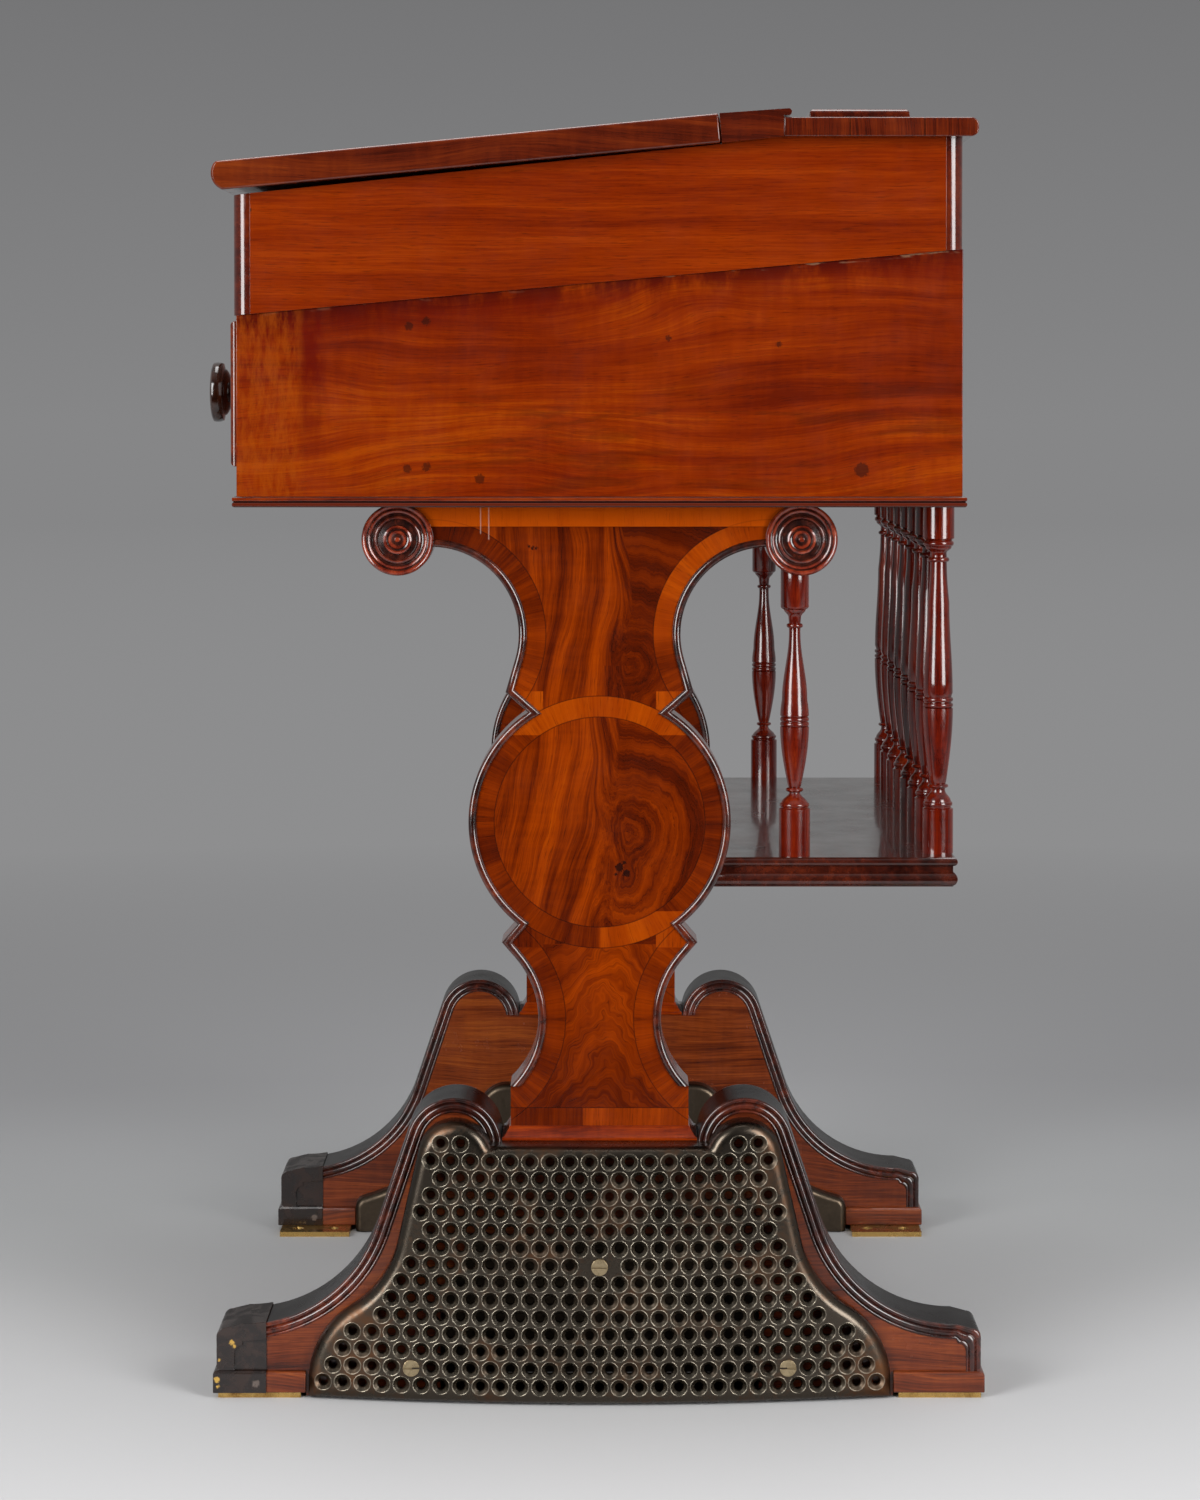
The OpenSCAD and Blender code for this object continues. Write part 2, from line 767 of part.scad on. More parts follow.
// True where a hole keeps its rim: inside the humps, the sides and the rounded corners
function hole_fits(y, z) =
    let (
        p = [abs(y), z],
        line = crossing_tangent(grille_hump_c, grille_hump_r, grille_hollow_c, grille_hollow_r),
        n = unit([line[0].y - line[1].y, line[1].x - line[0].x]),
        in_hump = norm(p - grille_hump_c) <= grille_hump_r - hump_rim,
        in_side = (p - line[1]) * n <= -hole_rim || p.y < line[1].y,
        in_hollow = norm(p - grille_hollow_c) >= grille_hollow_r + hole_rim,
        in_corner = p.y > corner_meet.y || p.x < corner_c.x
            || norm(p - corner_c) <= corner_r - hole_rim,
        in_top = p.y <= seat_z - hole_rim && (p.x <= grille_hump_y || p.y < grille_hump_z)
    )
    in_hump || (in_side && in_hollow && in_corner && in_top);

// True where a screw takes the place of a hole
function screw_near(y, z) =
    len([for (p = grille_screws_at()) if (norm([y, z] - p) < mid_screw_clear) 1]) > 0;

function grille_holes() =
    let (
        rows = ceil((seat_z + grille_hump_r - row_low_z) / row_pitch),
        most = ceil(grille_half / hole_pitch)
    )
    [for (row = [0:rows], i = [-most:most])
        let (y = (i + (row % 2) / 2) * hole_pitch, z = row_low_z + row * row_pitch)
        if (hole_fits(y, z) && !screw_near(y, z)) [y, z]];

// Everything behind the bulged face, set back by t, as upright flat strips
module behind_bulge(t) {
    r = grille_surface_r - t;
    half = grille_half + cut;
    step = 2 * half / bulge_strips;
    linear_extrude(2 * seat_z) polygon(concat(
        [[field_x - 2 * cut, half], [field_x - 2 * cut, -half]],
        [for (i = [0:bulge_strips]) let (y = i * step - half) [grille_axis_x + sqrt(r * r - y * y), y]]
    ));
}

module grille() {
    difference() {
        intersection() {
            along_x(field_x, field_x + grille_out + cut) grille_outline(0);
            behind_bulge(0);
        }
        intersection() {
            along_x(field_x - cut, field_x + grille_out) grille_outline(grille_rim);
            behind_bulge(grille_t);
        }
        along_x(field_x, field_x + grille_out + cut) {
            for (p = grille_holes()) disc_at(p, hole_r);
            for (p = grille_screws_at()) disc_at(p, grille_screw_r);
        }
        for (p = grille_screws_at()) along_x(screw_seat_x(p), field_x + grille_out + cut)
            disc_at(p, grille_screw_head_r + touch);
    }
}

module grille_right() {
    color(bronze) grille();
}

module grille_left() {
    color(bronze) left() grille();
}

module grille_screw(p) {
    seat = screw_seat_x(p);
    difference() {
        union() {
            along_x(field_x - screw_into_wood, seat + cut) disc_at(p, grille_screw_r - pin_play);
            along_x(seat, seat + screw_head_t) disc_at(p, grille_screw_head_r);
        }
        translate([seat + screw_head_t - screw_slot_d, p.x, p.y])
            centred_bar(screw_slot_d + cut, 2 * (grille_screw_head_r + cut), screw_slot_w);
    }
}

module grille_screws() {
    color(brass) pair() for (p = grille_screws_at()) grille_screw(p);
}

// Caps and uprights

// Fillet, step and bevel of the cap's edge
module cap_profile(half) {
    crown = half - cap_bevel;
    edge = [
        [half, seat_z], [half, seat_z + 0.22 * cap_h], [half - cap_step, seat_z + 0.3 * cap_h],
        [crown, seat_z + 0.86 * cap_h], [crown, cap_top_z]
    ];
    polygon(concat(edge, [for (i = [len(edge) - 1:-1:0]) [-edge[i].x, edge[i].y]]));
}

module foot_cap() {
    half_x = upright_t / 2 + cap_out;
    mid_x = (upright_face_x + upright_in_x) / 2;
    intersection() {
        along_x(mid_x - half_x, mid_x + half_x) cap_profile(cap_half);
        translate([mid_x, 0, 0]) along_y(-cap_half, cap_half) cap_profile(half_x);
    }
}

module foot_cap_right() {
    color(mahogany) foot_cap();
}

module foot_cap_left() {
    color(mahogany) left() foot_cap();
}

// Outline of an upright inset by w along its hollows, ears and disc
module upright_outline(w) {
    up_c = [up_hollow_y, up_hollow_z];
    low_c = [low_hollow_y, low_hollow_z];
    up = ear_points(up_c, up_hollow_r, [up_ear_y, up_ear_z], up_ear_deg, 1, w);
    low = ear_points(low_c, low_hollow_r, [low_ear_y, low_ear_z], low_ear_deg, -1, w);
    arch_z = up_hollow_z + up_hollow_r + w;
    both_ends() difference() {
        union() {
            polygon([
                [0, disc_z], up[0], up[1], up[2], [up_hollow_y, up[2].y], [up_hollow_y, arch_z],
                [scroll_y, arch_z], [scroll_y, case_floor_z], [0, case_floor_z]
            ]);
            polygon([
                [0, disc_z], [0, cap_top_z], [pier_half, cap_top_z], [pier_half, pier_top_z],
                [low_hollow_y, pier_top_z], [low_hollow_y, low[2].y], low[2], low[1], low[0]
            ]);
            intersection() {
                disc_at([0, disc_z], disc_r - w);
                translate([0, disc_z - disc_r]) square([disc_r, 2 * disc_r]);
            }
        }
        disc_at(up_c, up_hollow_r + w);
        disc_at(low_c, low_hollow_r + w);
        disc_at([scroll_y, scroll_z], scroll_r);
    }
}

module upright() {
    along_x(upright_in_x, upright_face_x) upright_outline(0);
}

module upright_right() {
    color(mahogany) upright();
}

module upright_left() {
    color(mahogany) left() upright();
}

module upright_bead() {
    for (x = [upright_in_x - upright_bead_h, upright_face_x]) along_x(x, x + upright_bead_h) difference() {
        upright_outline(0);
        upright_outline(upright_bead_w);
    }
}

module upright_bead_right() {
    color(dark_mahogany) upright_bead();
}

module upright_bead_left() {
    color(dark_mahogany) left() upright_bead();
}

// Turned face of a roll as [share of its radius, height over its ground]
scroll_face = [
    [0, 3.2], [0.06, 3.2], [0.09, 1.2], [0.16, 1.2], [0.2, 2.4], [0.25, 2.2], [0.28, 1.2], [0.33, 2.8],
    [0.38, 2.6], [0.41, 0.4], [0.54, 0], [0.57, 1.6], [0.63, 2], [0.67, 0.8], [0.72, 0.9], [0.76, 2.4],
    [0.81, 2.6], [0.84, 1.4], [0.88, 3.2], [0.94, 3.6], [0.98, 2.6], [1, 0.8]
];

module scroll_roll(end) {
    face = upright_face_x + scroll_out - scroll_relief;
    back = upright_in_x - scroll_back_out;
    intersection() {
        turned_x(end * scroll_y, scroll_z) polygon(concat(
            [[0, back]], [[scroll_r, back]],
            [for (i = [len(scroll_face) - 1:-1:0]) [scroll_face[i].x * scroll_r, face + scroll_face[i].y]]
        ));
        translate([0, -2 * scroll_y, 0]) cube([2 * foot_face_x, 4 * scroll_y, case_floor_z]);
    }
}

module scrolls_right() {
    color(dark_mahogany) for (end = [-1, 1]) scroll_roll(end);
}

module scrolls_left() {
    color(dark_mahogany) left() for (end = [-1, 1]) scroll_roll(end);
}

module bearers() {
    color(pine) pair() translate([upright_in_x - bearer_w, -bearer_half, case_floor_z - bearer_h])
        cube([bearer_w, 2 * bearer_half, bearer_h]);
}

// Shelf and spindles

// Two beads with a hollow between them, for a board w wide
module edge_profile(w) {
    low = shelf_top_z - shelf_t;
    top_r = shelf_top_bead / 2;
    low_h = shelf_t - shelf_top_bead - shelf_hollow_h;
    low_r = low_h / 2;
    translate([top_r, shelf_top_z - shelf_top_bead]) square([w - shelf_top_bead, shelf_top_bead]);
    translate([low_r, low]) square([w - low_h, low_h]);
    translate([shelf_hollow_d, low]) square([w - 2 * shelf_hollow_d, shelf_t]);
    for (x = [top_r, w - top_r]) disc_at([x, shelf_top_z - top_r], top_r);
    for (x = [low_r, w - low_r]) disc_at([x, low + low_r], low_r);
}

// The shelf is notched at each end round the disc of the upright
module shelf() {
    color(dark_mahogany) difference() {
        edged_board(-shelf_half, shelf_half, shelf_front_y, shelf_rear_y);
        pair() along_x(upright_in_x - upright_bead_h - touch, 2 * foot_face_x)
            disc_at([0, disc_z], disc_r + touch);
    }
}

// Points on a smooth rise from one radius and height to another
function ease(r0, z0, r1, z1) = [for (i = [0:curve_steps])
    let (t = i / curve_steps) [r0 + (r1 - r0) * (1 - cos(180 * t)) / 2, z0 + (z1 - z0) * t]];
// A swell that rises fast and then slowly, as a vase does
function swell(r0, z0, r1, z1) = [for (i = [0:curve_steps])
    let (t = i / curve_steps) [r0 + (r1 - r0) * sin(90 * t), z0 + (z1 - z0) * t]];
// A half round bead on a stem of radius r0
function bead(r0, r1, z0, z1) = [for (i = [0:4])
    let (a = 45 * i) [r0 + (r1 - r0) * sin(a), (z0 + z1) / 2 - (z1 - z0) / 2 * cos(a)]];

// Rear spindle of length l: plinth, neck, two vases parted by rings, neck and cap
function rear_profile(l, r) = concat(
    [[0, 0], [r * 0.97, 0], [r * 0.97, 0.129 * l], [r * 0.86, 0.132 * l]],
    bead(r * 0.84, r * 0.93, 0.135 * l, 0.148 * l),
    ease(r * 0.8, 0.15 * l, r * 0.45, 0.181 * l),
    bead(r * 0.46, r * 0.66, 0.186 * l, 0.199 * l),
    swell(r * 0.52, 0.202 * l, r * 0.95, 0.415 * l),
    bead(r * 0.86, r * 0.96, 0.419 * l, 0.432 * l),
    bead(r * 0.86, r * 0.96, 0.434 * l, 0.447 * l),
    [[r * 0.88, 0.45 * l], [r * 0.93, 0.455 * l]],
    ease(r * 0.93, 0.461 * l, r * 0.52, 0.832 * l),
    bead(r * 0.52, r * 0.69, 0.835 * l, 0.849 * l),
    ease(r * 0.51, 0.862 * l, r * 0.83, 0.876 * l),
    bead(r * 0.86, r * 0.97, 0.881 * l, 0.896 * l),
    [[r * 0.9, 0.899 * l], [r, 0.902 * l], [r, l], [0, l]]
);

// Side spindle: the same, slimmer and shorter, up to the roll that it carries
function side_profile(l, r) = concat(
    [[0, 0], [r, 0], [r, 0.15 * l], [r * 0.9, 0.153 * l]],
    bead(r * 0.87, r * 0.95, 0.155 * l, 0.166 * l),
    ease(r * 0.81, 0.171 * l, r * 0.35, 0.198 * l),
    bead(r * 0.36, r * 0.56, 0.201 * l, 0.215 * l),
    swell(r * 0.42, 0.22 * l, r * 0.92, 0.405 * l),
    bead(r * 0.83, r * 0.92, 0.408 * l, 0.421 * l),
    bead(r * 0.83, r * 0.92, 0.423 * l, 0.436 * l),
    ease(r * 0.92, 0.44 * l, r * 0.38, 0.704 * l),
    bead(r * 0.38, r * 0.53, 0.718 * l, 0.731 * l),
    ease(r * 0.42, 0.76 * l, r * 0.71, 0.774 * l),
    [[r * 0.91, 0.781 * l], [r * 0.91, l], [0, l]]
);

module rear_spindle(i) {
    color(dark_mahogany) translate([(i - (spindle_count - 1) / 2) * spindle_pitch, spindle_y, shelf_top_z])
        rotate_extrude() polygon(rear_profile(spindle_l, spindle_r));
}

module side_spindles() {
    color(dark_mahogany) pair() difference() {
        translate([side_spindle_x, side_spindle_y, shelf_top_z])
            rotate_extrude() polygon(side_profile(side_spindle_l, side_spindle_r));
        along_x(0, 2 * foot_face_x) disc_at([scroll_y, scroll_z], scroll_r);
    }
}

// Lower case

module case_bottom() {
    color(pine) translate([-case_in, rail_back_y, case_floor_z])
        cube([2 * case_in, case_back_in_y - rail_back_y, case_bottom_t]);
}

module case_side() {
    along_x(case_in, case_half) polygon([
        [case_front_y, case_floor_z], [case_rear_y, case_floor_z],
        [case_rear_y, slope_z(case_rear_y)], [case_front_y, slope_z(case_front_y)]
    ]);
}

module case_side_right() {
    color(mahogany) case_side();
}

module case_side_left() {
    color(mahogany) left() case_side();
}

module case_back() {
    color(mahogany) along_x(-case_in, case_in) polygon([
        [case_back_in_y, case_floor_z], [case_rear_y, case_floor_z],
        [case_rear_y, slope_z(case_rear_y)], [case_back_in_y, slope_z(case_back_in_y)]
    ]);
}

module case_top() {
    color(light_mahogany) along_x(-case_in, case_in) polygon([
        [rail_back_y, slope_z(rail_back_y) - case_top_t],
        [case_back_in_y, slope_z(case_back_in_y) - case_top_t],
        [case_back_in_y, slope_z(case_back_in_y)], [rail_back_y, slope_z(rail_back_y)]
    ]);
}

// Two half round reeds against the face, for a span of w
module moulding_profile(w) {
    r = moulding_h / 4;
    translate([0, case_floor_z]) {
        translate([moulding_out - r, 0]) square([w - 2 * (moulding_out - r), moulding_h]);
        for (x = [r, w - r], z = [r, 3 * r]) disc_at([x, z], r);
        for (x = [r, w - moulding_out]) translate([x, 0]) square([moulding_out - r, moulding_h]);
    }
}

module base_moulding() {
    x = case_half + moulding_out;
    y0 = case_front_y - moulding_out;
    y1 = case_rear_y + moulding_out;
    color(dark_mahogany) difference() {
        intersection() {
            along_x(-x, x) translate([y0, 0]) moulding_profile(y1 - y0);
            along_y(y0, y1) translate([-x, 0]) moulding_profile(2 * x);
        }
        translate([-case_half, case_front_y, case_floor_z - cut])
            cube([2 * case_half, case_rear_y - case_front_y, moulding_h + 2 * cut]);
    }
}

module front_rails() {
    color(mahogany) along_x(-case_in, case_in) {
        polygon([
            [case_front_y, opening_top_z], [rail_back_y, opening_top_z],
            [rail_back_y, slope_z(rail_back_y)], [case_front_y, slope_z(case_front_y)]
        ]);
        translate([case_front_y, case_floor_z]) square([rail_d, opening_low_z - case_floor_z]);
    }
}

// Strips under and over the drawer at each side
module drawer_runners() {
    l = case_back_in_y - rail_back_y;
    kicker_low_z = drawer_high_z + drawer_gap;
    color(pine) pair() {
        translate([case_in - runner_w, rail_back_y, bottom_top_z])
            cube([runner_w, l, opening_low_z - bottom_top_z]);
        translate([case_in - runner_w, rail_back_y, kicker_low_z]) cube([runner_w, l, kicker_h]);
    }
}

// Drawer

module drawer_front() {
    low = opening_low_z - lip_lap;
    high = opening_top_z + lip_lap;
    lip_half = case_in + lip_side_lap;
    color(mahogany) difference() {
        union() {
            translate([-drawer_half, case_front_y - cut, drawer_low_z])
                cube([2 * drawer_half, drawer_front_t + cut, opening_top_z - drawer_gap - drawer_low_z]);
            intersection() {
                along_x(-lip_half, lip_half) lip_profile(low, high);
                translate([-lip_half, lip_y, low]) lip_plan(2 * lip_half, high - low);
            }
        }
        for (x = [-knob_x, knob_x]) translate([x, drawer_front_back_y + cut, knob_z])
            rotate([90, 0, 0]) cylinder(h = drawer_front_t + lip_out + 2 * cut, r = knob_dowel_r);
    }
}

// Rounded front edge of the drawer lip, in Y and Z
module lip_profile(low, high) {
    r = lip_out * 0.7;
    intersection() {
        translate([lip_y, low]) square([lip_out - touch, high - low]);
        union() {
            translate([lip_y + r, low]) square([lip_out, high - low]);
            translate([lip_y, low + r]) square([lip_out, high - low - 2 * r]);
            for (z = [low + r, high - r]) disc_at([lip_y + r, z], r);
        }
    }
}

// The same rounding at the two ends of the lip
module lip_plan(w, h) {
    r = lip_out * 0.7;
    linear_extrude(h) {
        translate([0, r]) square([w, lip_out]);
        translate([r, 0]) square([w - 2 * r, lip_out]);
        for (x = [r, w - r]) disc_at([x, r], r);
    }
}

module drawer_sides() {
    color(pine) pair() translate([drawer_half - drawer_wall, drawer_front_back_y, drawer_low_z])
        difference() {
            cube([drawer_wall, drawer_back_y - drawer_front_back_y, drawer_high_z - drawer_low_z]);
            translate([-cut, -cut, drawer_bottom_up])
                cube([cut + drawer_wall / 3, drawer_l + 2 * cut, drawer_bottom_t]);
        }
}

module drawer_back() {
    half = drawer_half - drawer_wall;
    low = drawer_floor_z + drawer_bottom_t;
    color(pine) translate([-half, drawer_back_y - drawer_wall, low])
        cube([2 * half, drawer_wall, drawer_high_z - low]);
}

module drawer_bottom() {
    half = drawer_half - drawer_wall + drawer_wall / 3;
    color(pine) translate([-half, drawer_front_back_y, drawer_floor_z])
        cube([2 * half, drawer_back_y - drawer_front_back_y, drawer_bottom_t]);
}

// Mushroom knob with its dowel, as [radius, distance in front of the drawer]
module drawer_knobs() {
    r = knob_r;
    l = knob_l;
    rim_l = 0.79 * l;
    rim_r = 0.21 * l;
    profile = concat(
        [[0, -drawer_front_t - lip_out], [knob_dowel_r, -drawer_front_t - lip_out], [knob_dowel_r, 0]],
        [[r * 0.5, 0], [r * 0.5, 0.06 * l]],
        [for (i = [0:8]) let (t = i / 8) [r * (0.34 + 0.16 * cos(180 * t)), l * (0.06 + 0.3 * t)]],
        [for (i = [1:5]) let (t = i / 5) [r * (0.18 + 0.62 * sin(90 * t)), l * (0.36 + 0.24 * t)]],
        [for (i = [0:6]) let (a = -60 + 15 * i) [r * (0.86 + 0.14 * cos(a)), rim_l + rim_r * sin(a)]],
        [for (i = [1:5]) let (a = 30 + 12 * i)
            [r * 0.98 * cos((a - 30) * 1.44), rim_l + rim_r * sin(a)]],
        [[0, l]]
    );
    color(dark_mahogany) for (x = [-knob_x, knob_x]) translate([x, lip_y, knob_z])
        rotate([90, 0, 0]) rotate_extrude() polygon(profile);
}

// Writing box

// A box board across the desk, with rounded upright corners on the side that out names
module box_board(y0, y1, out) {
    r = box_corner_r;
    round_y = out < 0 ? y0 + r : y1 - r;
    intersection() {
        along_x(-box_half, box_half) children();
        linear_extrude(2 * ledge_low_z) {
            translate([-box_half + r, y0]) square([2 * (box_half - r), y1 - y0]);
            translate([-box_half, out < 0 ? round_y : y0]) square([2 * box_half, y1 - y0 - r]);
            for (x = [-box_half + r, box_half - r]) disc_at([x, round_y], r);
        }
    }
}

module box_front() {
    y1 = box_front_y + box_wall;
    color(dark_mahogany) box_board(box_front_y, y1, -1) polygon([
        [box_front_y, slope_z(box_front_y)], [y1, slope_z(y1)],
        [y1, box_top_z(y1)], [box_front_y, box_front_top_z]
    ]);
}

module box_back() {
    y0 = case_rear_y - box_wall;
    color(dark_mahogany) box_board(y0, case_rear_y, 1) polygon([
        [y0, slope_z(y0)], [case_rear_y, slope_z(case_rear_y)], [case_rear_y, ledge_low_z], [y0, ledge_low_z]
    ]);
}

module box_side() {
    y0 = box_front_y + box_wall;
    y1 = case_rear_y - box_wall;
    along_x(box_half - box_wall, box_half) polygon([
        [y0, slope_z(y0)], [y1, slope_z(y1)], [y1, ledge_low_z], [rail_back_y2, ledge_low_z],
        [hinge_y, box_hinge_top_z], [y0, box_top_z(y0)]
    ]);
}

module box_side_right() {
    color(light_mahogany) box_side();
}

module box_side_left() {
    color(light_mahogany) left() box_side();
}

// Rail, ledge and ink block

// Frame of the closed lid: origin on the hinge line, -Y down the slope
module lid_frame() {
    translate([0, hinge_y, hinge_z]) rotate([lid_slope, 0, 0]) children();
}

// Room for the two hinges in the wood on the side that dir names
module hinge_room(dir) {
    for (x = [-hinge_x, hinge_x]) translate([x - hinge_half, 0, 0]) {
        translate([0, dir > 0 ? -cut : -leaf_w, -leaf_t]) cube([2 * hinge_half, leaf_w + cut, leaf_t + cut]);
        rotate([0, 90, 0]) cylinder(h = 2 * hinge_half, r = groove_r);
    }
    for (p = leaf_screws_at()) translate([p.x, dir * leaf_screw_y, -leaf_screw_l])
        cylinder(h = leaf_screw_l, r = leaf_hole_r - pin_play);
}

function leaf_screws_at() = [
    for (x = [-hinge_x, hinge_x], step = [-leaf_screw_step, 0, leaf_screw_step]) [x + step, 0]
];

module hinge_rail() {
    top_back_z = hinge_z + rail_rise;
    nose_y = rail_back_y2 + rail_nose;
    foot_y = hinge_y + lid_t * sin(lid_slope) + touch;
    color(dark_mahogany) difference() {
        along_x(-top_half, top_half) {
            polygon([
                [hinge_y + touch, hinge_z], [foot_y, box_top_at(foot_y)],
                [rail_back_y2, ledge_low_z], [rail_back_y2, top_back_z - 2 * rail_nose_r],
                [nose_y - rail_nose_r, top_back_z - 2 * rail_nose_r], [nose_y - rail_nose_r, top_back_z]
            ]);
            disc_at([nose_y - rail_nose_r, top_back_z - rail_nose_r], rail_nose_r);
        }
        lid_frame() hinge_room(1);
    }
}

// Height of the box side's top behind the hinge line
function box_top_at(y) = box_hinge_top_z
    + (y - hinge_y) * (ledge_low_z - box_hinge_top_z) / (rail_back_y2 - hinge_y);

module ledge() {
    r = ledge_t * 0.42;
    color(dark_mahogany) along_x(-top_half, top_half) {
        translate([rail_back_y2, ledge_low_z]) square([ledge_rear_y - r - rail_back_y2, ledge_t]);
        translate([ledge_rear_y - 2 * r, ledge_low_z + r]) square([2 * r, ledge_t - 2 * r]);
        for (z = [ledge_low_z + r, ledge_top_z - r]) disc_at([ledge_rear_y - r, z], r);
    }
}

module ink_profile(w) {
    translate([0, ledge_top_z]) square([w, ink_h - ink_round]);
    translate([ink_round, ledge_top_z]) square([w - 2 * ink_round, ink_h]);
    for (x = [ink_round, w - ink_round]) disc_at([x, ledge_top_z + ink_h - ink_round], ink_round);
}

module ink_block() {
    y0 = ink_y - ink_d / 2;
    top = ledge_top_z + ink_h;
    floor_z = ledge_top_z + well_floor;
    color(dark_mahogany) difference() {
        intersection() {
            along_x(-ink_half, ink_half) translate([y0, 0]) ink_profile(ink_d);
            along_y(y0, y0 + ink_d) translate([-ink_half, 0]) ink_profile(2 * ink_half);
        }
        for (x = [-pot_x, pot_x]) translate([x, ink_y, floor_z]) cylinder(h = ink_h, r = pot_r + touch);
        translate([-tray_half, ink_y - tray_d, floor_z]) cube([2 * tray_half, 2 * tray_d, top]);
    }
}

module ink_pots() {
    h = ink_h - well_floor - cut;
    color(glass_tint, 0.5) for (x = [-pot_x, pot_x]) translate([x, ink_y, ledge_top_z + well_floor])
        difference() {
            cylinder(h = h, r = pot_r);
            translate([0, 0, pot_wall]) cylinder(h = h, r = pot_r - pot_wall);
        }
}

// Lid and hinges

module lid_profile() {
    nose_y = -lid_l + lid_nose_r;
    intersection() {
        union() {
            translate([nose_y, -lid_t]) square([lid_l - lid_nose_r - hinge_gap, lid_t]);
            disc_at([nose_y, -0.45 * lid_t], lid_nose_r);
        }
        translate([-lid_l, -lid_t]) square([lid_l, lid_t]);
    }
}

module lid_board() {
    color(mahogany) lid_frame() difference() {
        along_x(-top_half + cleat_w, top_half - cleat_w) lid_profile();
        hinge_room(-1);
    }
}

module lid_cleats() {
    color(dark_mahogany) lid_frame() pair() along_x(top_half - cleat_w, top_half) lid_profile();
}

// Half a hinge: a leaf let into the wood and its knuckles. The lid has the middle knuckle.
module leaf(dir) {
    for (x = [-hinge_x, hinge_x]) translate([x, 0, 0]) difference() {
        union() {
            translate([-hinge_half, dir > 0 ? groove_r : -leaf_w, -leaf_t])
                cube([2 * hinge_half, leaf_w - groove_r, leaf_t]);
            if (dir > 0) {
                knuckle(-hinge_half, -knuckle_half - touch / 2, dir);
                knuckle(knuckle_half + touch / 2, hinge_half, dir);
            } else {
                knuckle(-knuckle_half + touch / 2, knuckle_half - touch / 2, dir);
            }
        }
        translate([-hinge_half - cut, 0, 0]) rotate([0, 90, 0])
            cylinder(h = 2 * (hinge_half + cut), r = dir > 0 ? hinge_pin_r : hinge_pin_r + pin_play);
        for (step = [-leaf_screw_step, 0, leaf_screw_step]) translate([step, dir * leaf_screw_y, -leaf_t]) {
            translate([0, 0, -cut]) cylinder(h = leaf_t + 2 * cut, r = leaf_hole_r);
            translate([0, 0, leaf_t - (leaf_sink_r - leaf_hole_r)])
                cylinder(h = leaf_sink_r - leaf_hole_r, r1 = leaf_hole_r, r2 = leaf_sink_r);
        }
    }
}

module knuckle(x0, x1, dir) {
    translate([x0, 0, 0]) rotate([0, 90, 0]) cylinder(h = x1 - x0, r = knuckle_r);
    translate([x0, dir > 0 ? 0 : -groove_r - cut, -leaf_t]) cube([x1 - x0, groove_r + cut, leaf_t]);
}

module hinge_leaves_lid() {
    color(brass) lid_frame() leaf(-1);
}

module hinge_leaves_rail() {
    color(brass) lid_frame() leaf(1);
}

module hinge_pins() {
    color(brass) lid_frame() for (x = [-hinge_x, hinge_x]) translate([x - hinge_half, 0, 0])
        rotate([0, 90, 0]) cylinder(h = 2 * hinge_half, r = hinge_pin_r);
}

module leaf_screws(dir) {
    r = leaf_hole_r - pin_play;
    sink = leaf_sink_r - leaf_hole_r;
    for (p = leaf_screws_at()) translate([p.x, dir * leaf_screw_y, 0]) difference() {
        union() {
            translate([0, 0, -leaf_screw_l]) cylinder(h = leaf_screw_l - sink, r = r);
            translate([0, 0, -sink]) cylinder(h = sink, r1 = r, r2 = leaf_sink_r - pin_play);
        }
        translate([-leaf_sink_r, -leaf_slot_w / 2, -sink / 2]) cube([2 * leaf_sink_r, leaf_slot_w, sink]);
    }
}

module hinge_screws_lid() {
    color(brass) lid_frame() leaf_screws(-1);
}

module hinge_screws_rail() {
    color(brass) lid_frame() leaf_screws(1);
}

floor_plates();
toe_blocks();
toe_guards();
foot_right();
foot_left();
foot_bead_right();
foot_bead_left();
duct_cover_right();
duct_cover_left();
grille_right();
grille_left();
grille_screws();
foot_cap_right();
foot_cap_left();
upright_right();
upright_left();
upright_bead_right();
upright_bead_left();
scrolls_right();
scrolls_left();
bearers();
shelf();
rear_spindle(0);  // shelf_spindle_1
rear_spindle(1);  // shelf_spindle_2
rear_spindle(2);  // shelf_spindle_3
rear_spindle(3);  // shelf_spindle_4
rear_spindle(4);  // shelf_spindle_5
rear_spindle(5);  // shelf_spindle_6
rear_spindle(6);  // shelf_spindle_7
rear_spindle(7);  // shelf_spindle_8
side_spindles();
case_bottom();
case_side_right();
case_side_left();
case_back();
case_top();
base_moulding();
front_rails();
drawer_runners();
drawer_front();
drawer_sides();
drawer_back();
drawer_bottom();
drawer_knobs();
box_front();
box_back();
box_side_right();
box_side_left();
hinge_rail();
ledge();
ink_block();
ink_pots();
lid_board();
lid_cleats();
hinge_leaves_lid();
hinge_leaves_rail();
hinge_pins();
hinge_screws_lid();
hinge_screws_rail();
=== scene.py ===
from math import acos, asin, atan2, ceil, cos, degrees, hypot, pi, radians, sin, sqrt, tan

import bmesh
import bpy
from mathutils import Matrix, Vector, geometry, kdtree

